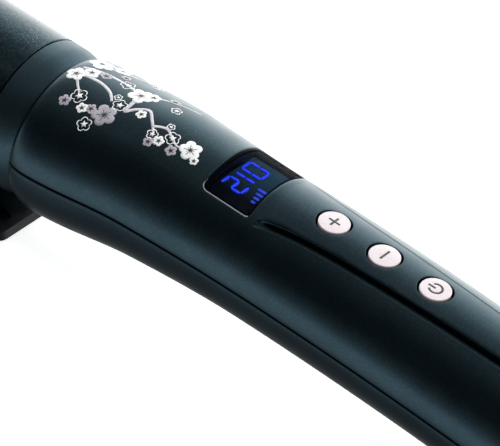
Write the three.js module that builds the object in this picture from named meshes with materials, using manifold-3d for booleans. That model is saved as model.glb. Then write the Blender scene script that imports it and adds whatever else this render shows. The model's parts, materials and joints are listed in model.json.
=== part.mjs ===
// Curling iron: a heated barrel with a spring clip, a two-shell handle with display and buttons, and a
// swivel cord outlet. The iron is built along +X with the barrel's axis on X and the display facing +Z,
// x = 0 where the handle meets the collar ring, and is then turned into the pose in which it rests: on the
// flat foot under its thumb lever and on the far end of its handle. Millimetres.
import * as THREE from "three";
import { mergeVertices } from "three/addons/utils/BufferGeometryUtils.js";
import Module from "manifold-3d";

const wasm = await Module();
wasm.setup();

const { degToRad, smoothstep, lerp } = THREE.MathUtils;

// Driving dimensions
const GAP = 0.3;
const ROUND = 32; // sides of the large round pieces
const SMALL_ROUND = 14; // sides of pins, screws and bosses

const BARREL_RADIUS = 16;
const BARREL_WALL = 1;
const BARREL_FRONT = -136;
const BARREL_REAR = -7.3;
const NECK_RADIUS = 11;
const NECK_REAR = 12;
const TIP_FRONT = -153;
const TIP_WALL = 1.6;
const TIP_END_WALL = 3.5;
const SPIGOT_LENGTH = 8;
const RING_FRONT = -7;
const RING_REAR = -0.15;

const HEATER_FRONT = -78;
const HEATER_REAR = -28;
const HEATER_HALF_WIDTH = 7;
const HEATER_HALF_THICKNESS = 0.8;
const SPREADER_FRONT = -80;
const SPREADER_LENGTH = 55;
const SPREADER_SHEET = 1;
const SPREADER_HALF_ANGLE = degToRad(48);
const SPREADER_WEB_ANGLE = degToRad(10);
const SPREADER_WEB = 1.2; // half thickness of the web, and height of the seat's underside
const SPREADER_SEAT = 9;
const SENSOR_RADIUS = 1.3;
const FUSE_RADIUS = 1.8;
const LEAD_RADIUS = 0.7;

const HANDLE_FRONT = 0.15;
const HANDLE_REAR = 148;
const FRONT_RADIUS = 16.6;
const GRIP_RADIUS = 14.8;
const SHELL_WALL = 3;
const SHELL_FRONT_WALL = 3;
const LIP_LENGTH = 5;
const LIP_DROP = 1.6;
const TAPER_START = 4.5;
const TAPER_END = 55;

const ARCH_RISE = 3.3;
const ARCH_PEAK = 55;
const ARCH_CURVE = 0.00066;
const ARCH_BLEND = 28;
const ARCH_STRAIGHT = 105; // behind this the handle runs straight on
const PARTING_DROP = 1.1;
const SWIVEL_TILT = Math.atan(2 * ARCH_CURVE * (ARCH_STRAIGHT - ARCH_PEAK));

const WINDOW_FRONT = 40.7;
const WINDOW_REAR = 52.1;
const WINDOW_HALF_WIDTH = 8.7;
const WINDOW_THICKNESS = 1;
const WINDOW_INSET = 0.15;
const LCD_HALF_WIDTH = 7.6;
const LCD_HEIGHTS = [9.9, 10.9]; // above the handle's centre line, as for the guide
const GUIDE_HEIGHTS = [6.1, 9.6];

const BUTTONS = ["plus", "minus", "power"];
const BUTTON_RADIUS = 3.15;
const BUTTON_PITCH = 12.25;
const PANEL_CENTRE = 78.1;
const PANEL_INSET = 0.1;
const BUTTON_DEPTH = 2.9; // of a cap without its stem
const BOARD_DEPTH = 6.6; // from the panel's surface down to the control board's top
const BOARD_THICKNESS = 1.6;
const SUPPLY_MIDDLE = 75;

const PIVOT_X = -14;
const PIVOT_Z = -20;
const PIN_RADIUS = 1;
const CLIP_RADIUS = 16.5;
const CLIP_SHEET = 0.8;
const CLIP_FRONT = -133;
const CLIP_REAR = -23.5;
const CLIP_HALF_ANGLE = degToRad(52);
const CLIP_FLARE = 3.5; // how far the tip turns outward, over the flare's length
const CLIP_FLARE_LENGTH = 14;
const ARM_HALF_WIDTH = 6.2;
const ARM_END = [-10.8, -20.5]; // where the clip's arm first lies on the lever
const ARM_TILT = Math.atan2(1.94, 6.3);
const BRACKET_FRONT = -21.5;
const BRACKET_REAR = -11.2;
const BRACKET_OUTER = 17.3;
const BRACKET_HALF_ANGLE = degToRad(33);
const LEVER_HALF_WIDTH = 11;
const FOOT_REAR = [-2.4, -25]; // rear edge of the lever's foot, the flat that the iron rests on
const FOOT_LENGTH = 6.6;
const RIVET_PLACES = [-8, -5.5];
const RIVET_RADIUS = 0.8;
const SPRING_TURNS = 4;
const SPRING_RADIUS = 1.95;
const SPRING_WIRE = 0.35;

const CAP_LENGTH = 9;
const GLAND_LENGTH = 17;
const GLAND_RADIUS = 5.9;
const CORD_BORE = 3.4;
const CONTACT_INNER = 4.7;
const CONTACT_OUTER = 6.4;

const SCREW_PLACES = [30, 122];
const SCREW_SINK = 5; // depth of the wells under the handle
const SCREW_HEAD = 2.6;
const SCREW_SHANK = 1.3;
const PILOT_RADIUS = 1.6;
const BOSS_RADIUS = 3.2;
const POST_RADIUS = 4.2;

const BLACK = 0x0d0f12;
const SLATE = 0x2b3338;
const PEARL = 0x23282e;
const STEEL = 0xb8bcc0;
const SILVER = 0xc9cdd0;
const BRASS = 0xb08d45;
const CERAMIC = 0xe6e0d4;
const GREEN = 0x1f5a35;
const RED_GLASS = 0x8a2b1c;

// Height of the handle's centre line above the barrel's axis
function archHeight(x) {
  const curved = Math.min(x, ARCH_STRAIGHT);
  const bow = ARCH_RISE - ARCH_CURVE * (curved - ARCH_PEAK) ** 2;
  return bow * smoothstep(x, 0, ARCH_BLEND) + archSlope(curved) * (x - curved);
}

function archSlope(x) {
  return -2 * ARCH_CURVE * (x - ARCH_PEAK);
}

// Outer radius of the handle at x: a rounded lip, a full front and a slimmer grip
function handleRadius(x) {
  const toLip = Math.max(0, 1 - x / LIP_LENGTH);
  const lip = LIP_DROP * (1 - Math.sqrt(1 - toLip * toLip));
  return lerp(FRONT_RADIUS, GRIP_RADIUS, smoothstep(x, TAPER_START, TAPER_END)) - lip;
}

// How far the handle's end hangs down when the iron rests on its foot and that end
const REST_DROP = archHeight(HANDLE_REAR) - GRIP_RADIUS - FOOT_REAR[1];
const REST_TILT = Math.atan2(REST_DROP, HANDLE_REAR - FOOT_REAR[0]);

// A closed geometry as a manifold-3d solid
function solid(geometry) {
  const plain = geometry.clone();
  plain.deleteAttribute("normal");
  plain.deleteAttribute("uv");
  const merged = mergeVertices(plain, 1e-4);
  const vertProperties = new Float32Array(merged.attributes.position.array);
  return new wasm.Manifold(
    new wasm.Mesh({ numProp: 3, vertProperties, triVerts: new Uint32Array(merged.index.array) }),
  );
}

// A manifold-3d solid as a geometry
function geometryOf(made) {
  const mesh = made.getMesh();
  const geometry = new THREE.BufferGeometry();
  geometry.setAttribute("position", new THREE.BufferAttribute(mesh.vertProperties, 3));
  geometry.setIndex(new THREE.BufferAttribute(mesh.triVerts, 1));
  const flat = geometry.toNonIndexed();
  flat.computeVertexNormals();
  return flat;
}

function part(name, made, color, roughness = 0.5, metalness = 0) {
  const material = new THREE.MeshStandardMaterial({ color, roughness, metalness });
  const mesh = new THREE.Mesh(geometryOf(made), material);
  mesh.name = name;
  return mesh;
}

// A solid turned about the X axis from [x, radius] points. The points run from front to rear on the outside.
function turned(points, sides = ROUND) {
  const profile = points.map(([x, radius]) => new THREE.Vector2(radius, x));
  return new THREE.LatheGeometry(profile, sides).rotateZ(-Math.PI / 2);
}

function ringProfile(points) {
  return [...points, points[0]];
}

// A straight round rod between two heights on X, Y or Z
function rod(axis, radius, low, high, sides = SMALL_ROUND) {
  const geometry = new THREE.CylinderGeometry(radius, radius, high - low, sides);
  geometry.translate(0, (low + high) / 2, 0);
  if (axis === "x") geometry.rotateZ(-Math.PI / 2);
  if (axis === "z") geometry.rotateX(Math.PI / 2);
  return geometry;
}

function block([x0, x1], [y0, y1], [z0, z1], stations = 1) {
  const geometry = new THREE.BoxGeometry(x1 - x0, y1 - y0, z1 - z0, stations, 1, 1);
  return geometry.translate((x0 + x1) / 2, (y0 + y1) / 2, (z0 + z1) / 2);
}

// An outline in X and Z, extruded evenly to both sides of the middle plane
function plate(points, halfWidth, middle = 0) {
  const outline = new THREE.Shape(points.map(([x, z]) => new THREE.Vector2(x, z)));
  return extrudeAcross(outline, halfWidth, middle);
}

function extrudeAcross(outline, halfWidth, middle = 0, curveSegments = 10) {
  const options = { depth: 2 * halfWidth, bevelEnabled: false, curveSegments };
  const geometry = new THREE.ExtrudeGeometry(outline, options);
  return geometry.translate(0, 0, -halfWidth).rotateX(Math.PI / 2).translate(0, middle, 0);
}

// Lifts each vertex by a height that depends on its x
function lifted(geometry, height = archHeight) {
  const place = geometry.attributes.position;
  for (let i = 0; i < place.count; i += 1) place.setZ(i, place.getZ(i) + height(place.getX(i)));
  return geometry;
}

function atArch(x, z = 0) {
  return [x, 0, archHeight(x) + z];
}

// ---- Barrel ----

function barrelTube() {
  const inner = BARREL_RADIUS - BARREL_WALL;
  const neckInner = NECK_RADIUS - BARREL_WALL;
  const outline = ringProfile([
    [BARREL_FRONT, inner],
    [BARREL_FRONT, BARREL_RADIUS],
    [BARREL_REAR - 0.4, BARREL_RADIUS],
    [BARREL_REAR, BARREL_RADIUS - 0.4],
    [BARREL_REAR, NECK_RADIUS],
    [NECK_REAR, NECK_RADIUS],
    [NECK_REAR, neckInner],
    [BARREL_REAR - BARREL_WALL, neckInner],
    [BARREL_REAR - BARREL_WALL, inner],
  ]);
  return solid(turned(outline));
}

function coolTip() {
  const spigot = BARREL_RADIUS - BARREL_WALL - GAP;
  const crown = new THREE.EllipseCurve(TIP_FRONT + 8, 9.5, 8, 6.5, -Math.PI, -Math.PI * 1.5, true);
  const dome = crown.getPoints(6).map((point) => [point.x, point.y]);
  const outline = [
    [TIP_FRONT, 0],
    ...dome,
    [BARREL_FRONT - GAP, BARREL_RADIUS],
    [BARREL_FRONT - GAP, spigot],
    [BARREL_FRONT + SPIGOT_LENGTH, spigot],
    [BARREL_FRONT + SPIGOT_LENGTH, spigot - TIP_WALL],
    [TIP_FRONT + 9, spigot - TIP_WALL],
    [TIP_FRONT + TIP_END_WALL, 9],
    [TIP_FRONT + TIP_END_WALL, 0],
  ];
  return solid(turned(outline));
}

function collarRing() {
  const bore = NECK_RADIUS + GAP;
  const outline = ringProfile([
    [RING_FRONT, bore],
    [RING_FRONT, BARREL_RADIUS - 0.35],
    [RING_FRONT + 0.4, BARREL_RADIUS],
    [RING_FRONT + 2.5, BARREL_RADIUS],
    [RING_FRONT + 4.6, BARREL_RADIUS - 0.3],
    [RING_REAR - 1, BARREL_RADIUS - 0.8],
    [RING_REAR, BARREL_RADIUS - 1.3],
    [RING_REAR, bore],
  ]);
  return solid(turned(outline));
}

// A heat spreader: a flat seat for the heater plate and a curved wall against the inside of the barrel
function heatSpreader(side) {
  const reach = BARREL_RADIUS - BARREL_WALL - GAP;
  const inner = reach - SPREADER_SHEET;
  const up = Math.PI / 2;
  const seatTop = SPREADER_WEB + SPREADER_SHEET;
  const outline = new THREE.Shape();
  outline.absarc(0, 0, reach, up - SPREADER_HALF_ANGLE, up + SPREADER_HALF_ANGLE, false);
  outline.absarc(0, 0, inner, up + SPREADER_HALF_ANGLE, up + SPREADER_WEB_ANGLE, true);
  outline.lineTo(-SPREADER_WEB, seatTop);
  outline.lineTo(-SPREADER_SEAT, seatTop);
  outline.lineTo(-SPREADER_SEAT, SPREADER_WEB);
  outline.lineTo(SPREADER_SEAT, SPREADER_WEB);
  outline.lineTo(SPREADER_SEAT, seatTop);
  outline.lineTo(SPREADER_WEB, seatTop);
  outline.lineTo(inner * Math.sin(SPREADER_WEB_ANGLE), inner * Math.cos(SPREADER_WEB_ANGLE));
  outline.absarc(0, 0, inner, up - SPREADER_WEB_ANGLE, up - SPREADER_HALF_ANGLE, true);
  const options = { depth: SPREADER_LENGTH, bevelEnabled: false, curveSegments: 8 };
  const geometry = new THREE.ExtrudeGeometry(outline, options);
  geometry.rotateX(Math.PI / 2).rotateZ(Math.PI / 2);
  if (side < 0) geometry.rotateX(Math.PI);
  return solid(geometry);
}

function addBarrel(iron) {
  iron.add(part("barrel_tube", barrelTube(), PEARL, 0.3, 0.6));
  iron.add(part("cool_tip", coolTip(), BLACK, 0.6));
  iron.add(part("collar_ring", collarRing(), SLATE, 0.45));
  const across = [-HEATER_HALF_WIDTH, HEATER_HALF_WIDTH];
  const heater = block([HEATER_FRONT, HEATER_REAR], across, [-HEATER_HALF_THICKNESS, HEATER_HALF_THICKNESS]);
  iron.add(part("heater_plate", solid(heater), CERAMIC, 0.7));
  for (const [name, side] of [["upper", 1], ["lower", -1]]) {
    const spreader = part("heat_spreader_" + name, heatSpreader(side), SILVER, 0.4, 0.8);
    spreader.position.x = SPREADER_FRONT;
    iron.add(spreader);
  }
  const sensor = part("temperature_sensor", solid(rod("x", SENSOR_RADIUS, -50, -38)), RED_GLASS, 0.4);
  sensor.position.set(0, 5, 3.8);
  iron.add(sensor);
  const fuse = part("thermal_fuse", solid(rod("x", FUSE_RADIUS, -52, -38)), SILVER, 0.3, 0.8);
  fuse.position.set(0, -5, -4.3);
  iron.add(fuse);
}

// A carrier between the barrel's neck and the handle's front
function barrelCarrier() {
  const bore = NECK_RADIUS + GAP;
  const front = HANDLE_FRONT + SHELL_FRONT_WALL + GAP;
  return solid(turned(ringProfile([
    [front, bore],
    [front, 12],
    [NECK_REAR + 3, 12],
    [NECK_REAR + 3, 5],
    [NECK_REAR + GAP, 5],
    [NECK_REAR + GAP, bore],
  ])));
}

// ---- Handle ----

function handleOutline(offset, front, rear) {
  const outline = [[front, 0]];
  const shares = [0, 0.005, 0.015, 0.035, 0.09, 0.15, 0.21, 0.27, 0.33, 0.43, 0.54, 0.65, 0.76, 1];
  for (const share of shares) {
    const x = lerp(front, rear, share);
    outline.push([x, handleRadius(x) - offset]);
  }
  outline.push([rear, 0]);
  return outline;
}

function handleBody(offset, front = HANDLE_FRONT, rear = HANDLE_REAR) {
  return solid(lifted(turned(handleOutline(offset, front, rear))));
}

// The handle's wall as one tube, with a front wall that the barrel's neck passes through
function handleWall() {
  const hollow = handleBody(SHELL_WALL, HANDLE_FRONT + SHELL_FRONT_WALL, HANDLE_REAR + 4);
  const boreRear = HANDLE_FRONT + SHELL_FRONT_WALL + 1;
  const bore = solid(rod("x", NECK_RADIUS + GAP, HANDLE_FRONT - 2, boreRear, ROUND));
  const behind = block([0, 20], [-25, 25], [-25, 25]).rotateY(SWIVEL_TILT).translate(...atArch(HANDLE_REAR));
  const wall = handleBody(0, HANDLE_FRONT, HANDLE_REAR + 3).subtract(hollow).subtract(bore);
  return wall.subtract(solid(behind));
}

// Everything on one side of the parting surface, which runs just below the handle's middle
function partingHalf(side) {
  const reach = side > 0 ? [GAP / 2, 25] : [-25, -GAP / 2];
  const half = block([HANDLE_FRONT - 5, HANDLE_REAR + 5], [-25, 25], reach, 20);
  const drop = (x) => archHeight(x) - PARTING_DROP * smoothstep(x, TAPER_START, TAPER_END);
  return solid(lifted(half, drop));
}

function windowPrism(grow) {
  const half = WINDOW_HALF_WIDTH + grow;
  return solid(block([WINDOW_FRONT - grow, WINDOW_REAR + grow], [-half, half], [6, 30]));
}

// Stands a solid that is built around the panel's middle, its top at z = 0, in its place on the handle
const PANEL_TILT = -Math.atan(archSlope(PANEL_CENTRE));
const PANEL_HEIGHT = archHeight(PANEL_CENTRE) + GRIP_RADIUS - PANEL_INSET;

function onPanel(geometry) {
  return geometry.rotateY(PANEL_TILT).translate(PANEL_CENTRE, 0, PANEL_HEIGHT);
}

function buttonOffset(index) {
  return (index - 1) * BUTTON_PITCH;
}

function screwBoss(x) {
  const top = archHeight(x) + handleRadius(x) - 1.2;
  return solid(rod("z", BOSS_RADIUS, archHeight(x) - 0.5, top).translate(x, 0, 0));
}

function upperShell() {
  let shell = handleWall().intersect(partingHalf(1));
  shell = shell.subtract(windowPrism(GAP));
  for (let index = 0; index < BUTTONS.length; index += 1) {
    const hole = rod("z", BUTTON_RADIUS + GAP, -5, 5, 28).translate(buttonOffset(index), 0, 0);
    shell = shell.subtract(solid(onPanel(hole)));
  }
  for (const x of SCREW_PLACES) {
    const pilot = solid(rod("z", PILOT_RADIUS, archHeight(x) - 3, archHeight(x) + 7).translate(x, 0, 0));
    shell = shell.add(screwBoss(x)).subtract(pilot);
  }
  return shell;
}

function lowerShell() {
  let shell = handleWall().intersect(partingHalf(-1));
  for (const x of SCREW_PLACES) {
    const middle = archHeight(x);
    const bottom = middle - handleRadius(x);
    const post = solid(rod("z", POST_RADIUS, bottom + 1, middle - 4).translate(x, 0, 0));
    const sinkhole = solid(rod("z", SCREW_HEAD + 0.4, bottom - 2, bottom + SCREW_SINK).translate(x, 0, 0));
    const clearance = solid(rod("z", PILOT_RADIUS, bottom, middle).translate(x, 0, 0));
    shell = shell.add(post).subtract(sinkhole).subtract(clearance);
  }
  return shell;
}

function screw(x) {
  const seat = archHeight(x) - handleRadius(x) + SCREW_SINK - GAP;
  const head = solid(rod("z", SCREW_HEAD, seat - 2, seat));
  const shank = solid(rod("z", SCREW_SHANK, seat - 0.5, archHeight(x) + 5.5));
  const long = [-2, 2];
  const thin = [-0.35, 0.35];
  const deep = [seat - 3, seat - 1.2];
  const slot = solid(block(long, thin, deep));
  const cross = solid(block(thin, long, deep));
  return head.add(shank).subtract(slot).subtract(cross);
}

function displayWindow() {
  const outer = handleBody(WINDOW_INSET, HANDLE_FRONT + 1, HANDLE_REAR - 1);
  const inner = handleBody(WINDOW_INSET + WINDOW_THICKNESS, HANDLE_FRONT + 2, HANDLE_REAR - 2);
  return outer.subtract(inner).intersect(windowPrism(0));
}

function addHandle(iron) {
  iron.add(part("upper_shell", upperShell(), BLACK, 0.4));
  iron.add(part("lower_shell", lowerShell(), BLACK, 0.45));
  iron.add(part("barrel_carrier", barrelCarrier(), CERAMIC, 0.7));
  iron.add(part("display_window", displayWindow(), 0x05070a, 0.08));
  SCREW_PLACES.forEach((x, index) => {
    const fastener = part(["front", "rear"][index] + "_screw", screw(x), STEEL, 0.35, 0.9);
    fastener.position.x = x;
    iron.add(fastener);
  });
}

// ---- Display and controls ----

function addDisplay(iron) {
  const middle = (WINDOW_FRONT + WINDOW_REAR) / 2;
  const reach = (WINDOW_REAR - WINDOW_FRONT) / 2;
  const display = new THREE.Group();
  display.position.set(...atArch(middle));
  const across = [-LCD_HALF_WIDTH, LCD_HALF_WIDTH];
  const lcd = block([-reach, reach], across, LCD_HEIGHTS);
  display.add(part("display_panel", solid(lcd), 0x10183a, 0.2));
  const guide = block([-reach, reach], across, GUIDE_HEIGHTS);
  display.add(part("backlight_guide", solid(guide), 0xdfe6f5, 0.3));
  iron.add(display);
}

// A round cap with a crowned top and a stem down to its switch
function buttonCap() {
  const profile = [
    [-BOARD_DEPTH + 2.8, 0],
    [-BOARD_DEPTH + 2.8, 1],
    [-BUTTON_DEPTH, 1],
    [-BUTTON_DEPTH, BUTTON_RADIUS],
    [-0.25, BUTTON_RADIUS],
    [0, BUTTON_RADIUS - 0.35],
    [0.22, BUTTON_RADIUS * 0.55],
    [0.3, 0],
  ];
  return solid(turned(profile, 28).rotateY(-Math.PI / 2));
}

function tactSwitch() {
  const base = solid(block([-2.5, 2.5], [-2.5, 2.5], [0, 1.6]));
  const plunger = solid(rod("z", 1.2, 1.5, 1.9));
  return base.add(plunger);
}

function addControls(iron) {
  const panel = new THREE.Group();
  panel.position.set(PANEL_CENTRE, 0, PANEL_HEIGHT);
  panel.rotation.y = PANEL_TILT;
  BUTTONS.forEach((name, index) => {
    const cap = part(name + "_button", buttonCap(), 0xe3d6d4, 0.35);
    cap.position.x = buttonOffset(index);
    panel.add(cap);
    const contact = part(name + "_switch", tactSwitch(), 0x1a1a1a, 0.5);
    contact.position.set(buttonOffset(index), 0, -BOARD_DEPTH + GAP);
    panel.add(contact);
  });
  const board = block([-19, 20], [-8.2, 8.2], [-BOARD_DEPTH - BOARD_THICKNESS, -BOARD_DEPTH]);
  panel.add(part("control_board", solid(board), GREEN, 0.5));
  iron.add(panel);
}

function addPowerSupply(iron) {
  const supply = new THREE.Group();
  supply.position.set(...atArch(SUPPLY_MIDDLE));
  supply.rotation.y = PANEL_TILT;
  supply.add(part("power_board", solid(block([-36, 30], [-8.8, 8.8], [-4.6, -3])), GREEN, 0.5));
  supply.add(part("filter_capacitor", solid(block([-30, -18], [-4, 4], [-9.4, -4.9])), 0xd8b12c, 0.4));
  const bulk = rod("x", 2.6, -12, 2).translate(0, 0, -7.6);
  supply.add(part("smoothing_capacitor", solid(bulk), 0x1c2a55, 0.35));
  supply.add(part("triac", solid(block([8, 14], [-4.5, 4.5], [-9, -4.9])), 0x151515, 0.5));
  iron.add(supply);
}

// ---- Clip ----

// The spoon: a curved sheet under the barrel, rounded and turned outward at its tip
function clipSpoon() {
  const down = -Math.PI / 2;
  const sheet = new THREE.Shape();
  sheet.absarc(0, 0, CLIP_RADIUS + CLIP_SHEET, down - CLIP_HALF_ANGLE, down + CLIP_HALF_ANGLE, false);
  sheet.absarc(0, 0, CLIP_RADIUS, down + CLIP_HALF_ANGLE, down - CLIP_HALF_ANGLE, true);
  const length = CLIP_REAR - CLIP_FRONT;
  const options = { depth: length, steps: 12, bevelEnabled: false, curveSegments: 9 };
  const geometry = new THREE.ExtrudeGeometry(sheet, options);
  geometry.rotateX(Math.PI / 2).rotateZ(Math.PI / 2).translate(CLIP_FRONT, 0, 0);
  return geometry;
}

function clipPlan() {
  const half = (CLIP_RADIUS + CLIP_SHEET) * Math.sin(CLIP_HALF_ANGLE) + 1;
  const rear = CLIP_REAR + 1;
  const plan = new THREE.Shape();
  plan.moveTo(CLIP_FRONT + half, -half);
  plan.lineTo(rear - 6, -half);
  plan.quadraticCurveTo(rear - 2, -half + 4, rear, -half + 6);
  plan.lineTo(rear, half - 6);
  plan.quadraticCurveTo(rear - 2, half - 4, rear - 6, half);
  plan.lineTo(CLIP_FRONT + half, half);
  plan.absarc(CLIP_FRONT + half, 0, half, Math.PI / 2, Math.PI * 1.5, false);
  const options = { depth: 30, bevelEnabled: false, curveSegments: 8 };
  return new THREE.ExtrudeGeometry(plan, options).translate(0, 0, -32);
}

function clipArm() {
  const outline = [
    [-34, -16.9],
    [-34, -17.8],
    [-15.3, -18.5],
    [-12.5, -20],
    ARM_END,
    [-4.5, -22.44],
    [-4.2, -21.6],
    [-10.8, -19.6],
    [-12, -19.1],
    [-15, -17.7],
  ];
  return solid(plate(outline, ARM_HALF_WIDTH));
}

function pivotEar(radius, top, middle) {
  const outline = new THREE.Shape();
  outline.moveTo(PIVOT_X + radius, PIVOT_Z);
  outline.lineTo(PIVOT_X + radius, top);
  outline.lineTo(PIVOT_X - radius, top);
  outline.lineTo(PIVOT_X - radius, PIVOT_Z);
  outline.absarc(PIVOT_X, PIVOT_Z, radius, Math.PI, 2 * Math.PI, false);
  return solid(extrudeAcross(outline, 0.6, middle));
}

function pivotBore() {
  return solid(rod("y", PIN_RADIUS + GAP, -12, 12).translate(PIVOT_X, 0, PIVOT_Z));
}

function clipPlate() {
  const flare = (x) => -CLIP_FLARE * smoothstep(-x, -CLIP_FRONT - CLIP_FLARE_LENGTH, -CLIP_FRONT) ** 2;
  const spoon = solid(clipSpoon()).intersect(solid(clipPlan()));
  const window = solid(block([-17.6, -11.4], [-4.6, 4.6], [-24, -15]));
  let clip = spoon.add(clipArm()).subtract(window);
  for (const side of [-1, 1]) clip = clip.add(pivotEar(2.1, -18.6, side * 5.6));
  clip = clip.subtract(pivotBore());
  for (const x of RIVET_PLACES) clip = clip.subtract(solid(rivetHole(x)));
  return solid(lifted(geometryOf(clip), flare));
}

// The bracket that carries the pivot: a saddle round the barrel's base with two ears
function hingeBracket() {
  const down = -Math.PI / 2;
  const sheet = new THREE.Shape();
  sheet.absarc(0, 0, BRACKET_OUTER, down - BRACKET_HALF_ANGLE, down + BRACKET_HALF_ANGLE, false);
  sheet.absarc(0, 0, BARREL_RADIUS + GAP, down + BRACKET_HALF_ANGLE, down - BRACKET_HALF_ANGLE, true);
  const options = { depth: BRACKET_REAR - BRACKET_FRONT, bevelEnabled: false, curveSegments: 12 };
  const geometry = new THREE.ExtrudeGeometry(sheet, options);
  geometry.rotateX(Math.PI / 2).rotateZ(Math.PI / 2).translate(BRACKET_FRONT, 0, 0);
  let bracket = solid(geometry);
  for (const side of [-1, 1]) bracket = bracket.add(pivotEar(2.3, -15.4, side * 7.5));
  return bracket.subtract(solid(rod("x", BARREL_RADIUS + GAP, -30, 0, ROUND))).subtract(pivotBore());
}

function pivotPin() {
  const body = solid(rod("y", PIN_RADIUS, -8.6, 8.6));
  const head = solid(rod("y", 1.7, -9.2, -8.4));
  const burr = solid(rod("y", 1.7, 8.4, 9.2));
  return body.add(head).add(burr);
}

// Height of the face on which the clip's arm lies on the lever
function armHeight(x) {
  return ARM_END[1] - (x - ARM_END[0]) * Math.tan(ARM_TILT);
}

// Rivets stand square to the arm
function rivetHole(x) {
  return rod("z", RIVET_RADIUS + GAP, -3, 3).rotateY(ARM_TILT).translate(x, 0, armHeight(x));
}

function rivet() {
  return solid(rod("z", RIVET_RADIUS, -2.2, 1.5)).add(solid(rod("z", 1.3, 1.25, 1.7)));
}

function thumbLever() {
  const outline = [
    [-10.8, -20.8],
    [-11.7, -22.6],
    [-14, -23.3],
    [-13, -24.7],
    [FOOT_REAR[0] - FOOT_LENGTH, FOOT_REAR[1] - FOOT_LENGTH * Math.tan(REST_TILT)],
    FOOT_REAR,
    [-3, -23.2],
  ];
  let lever = solid(plate(outline, LEVER_HALF_WIDTH));
  for (const x of RIVET_PLACES) lever = lever.subtract(solid(rivetHole(x)));
  return lever;
}

// A wound torsion spring round the pin, one leg on the bracket and one under the clip's arm
function torsionSpring() {
  const steps = SPRING_TURNS * 8;
  const points = [new THREE.Vector3(-4.2, -3.9, 0.9), new THREE.Vector3(-1.8, -3.9, 1.9)];
  for (let i = 0; i <= steps; i += 1) {
    const angle = Math.PI / 2 - (i / 8) * 2 * Math.PI;
    const across = lerp(-3.5, 3.5, i / steps);
    points.push(new THREE.Vector3(SPRING_RADIUS * Math.cos(angle), across, SPRING_RADIUS * Math.sin(angle)));
  }
  points.push(new THREE.Vector3(-1.8, 3.9, 1.9), new THREE.Vector3(-4.2, 3.9, 0.9));
  const wire = new THREE.Shape().absarc(0, 0, SPRING_WIRE, 0, 2 * Math.PI, false);
  const path = new THREE.CatmullRomCurve3(points);
  const options = { steps: 40, extrudePath: path, bevelEnabled: false, curveSegments: 3 };
  return solid(new THREE.ExtrudeGeometry(wire, options));
}

function addClip(iron) {
  iron.add(part("clip_plate", clipPlate(), PEARL, 0.3, 0.6));
  iron.add(part("hinge_bracket", hingeBracket(), STEEL, 0.35, 0.9));
  iron.add(part("thumb_lever", thumbLever(), BLACK, 0.5));
  const hinge = new THREE.Group();
  hinge.position.set(PIVOT_X, 0, PIVOT_Z);
  hinge.add(part("pivot_pin", pivotPin(), STEEL, 0.3, 0.9));
  hinge.add(part("torsion_spring", torsionSpring(), STEEL, 0.3, 0.9));
  iron.add(hinge);
  RIVET_PLACES.forEach((x, index) => {
    const pin = part(["front", "rear"][index] + "_rivet", rivet(), STEEL, 0.3, 0.9);
    pin.position.set(x, 0, armHeight(x));
    pin.rotation.y = ARM_TILT;
    iron.add(pin);
  });
}

// ---- Swivel cord outlet ----

function endCap() {
  const outline = ringProfile([
    [-7, GLAND_RADIUS + GAP],
    [-7, GRIP_RADIUS - SHELL_WALL - GAP],
    [GAP, GRIP_RADIUS - SHELL_WALL - GAP],
    [GAP, GRIP_RADIUS - 0.2],
    [CAP_LENGTH * 0.45, GRIP_RADIUS - 0.5],
    [CAP_LENGTH * 0.8, GRIP_RADIUS - 2.2],
    [CAP_LENGTH, GRIP_RADIUS - 4.4],
    [CAP_LENGTH, GLAND_RADIUS + GAP],
  ]);
  return solid(turned(outline));
}

// The gland turns in the end cap's bore, held by a flange on the inside
function swivelGland() {
  const tail = CAP_LENGTH + GAP;
  const outline = ringProfile([
    [-18, CORD_BORE],
    [-18, 4.4],
    [-9.3, 4.4],
    [-9.3, 8],
    [-7.3, 8],
    [-7.3, GLAND_RADIUS],
    [tail, GLAND_RADIUS],
    [tail, 8.6],
    [tail + 3, 8.3],
    [tail + 5.5, 6.8],
    [tail + GLAND_LENGTH - 1, 5.6],
    [tail + GLAND_LENGTH, 5.1],
    [tail + GLAND_LENGTH, CORD_BORE],
  ]);
  return solid(turned(outline, 32));
}

function contactRing(front) {
  const outline = ringProfile([
    [front, CONTACT_INNER],
    [front, CONTACT_OUTER],
    [front + 2, CONTACT_OUTER],
    [front + 2, CONTACT_INNER],
  ]);
  return solid(turned(outline, 24));
}

function contactBrush() {
  const outline = [
    [-1, 0],
    [1, 0],
    [1, 0.5],
    [0.3, 0.5],
    [0.3, 3.6],
    [-0.3, 3.6],
    [-0.3, 0.5],
    [-1, 0.5],
  ];
  return solid(plate(outline, 1.6));
}

function addSwivel(iron) {
  const swivel = new THREE.Group();
  swivel.position.set(...atArch(HANDLE_REAR));
  swivel.rotation.y = SWIVEL_TILT;
  swivel.add(part("end_cap", endCap(), BLACK, 0.5));
  swivel.add(part("swivel_gland", swivelGland(), BLACK, 0.6));
  for (const [name, front] of [["live", -13], ["neutral", -17]]) {
    swivel.add(part(name + "_contact_ring", contactRing(front), BRASS, 0.3, 0.9));
    const brush = part(name + "_contact_brush", contactBrush(), BRASS, 0.3, 0.9);
    brush.position.set(front + 1, 0, CONTACT_OUTER + GAP);
    swivel.add(brush);
  }
  iron.add(swivel);
}

// A lead inside the iron: a thin wire along a curve
function lead(points) {
  const wire = new THREE.Shape().absarc(0, 0, LEAD_RADIUS, 0, 2 * Math.PI, false);
  const path = new THREE.CatmullRomCurve3(points.map((point) => new THREE.Vector3(...point)));
  const options = { steps: 12, extrudePath: path, bevelEnabled: false, curveSegments: 3 };
  return solid(new THREE.ExtrudeGeometry(wire, options));
}

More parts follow.
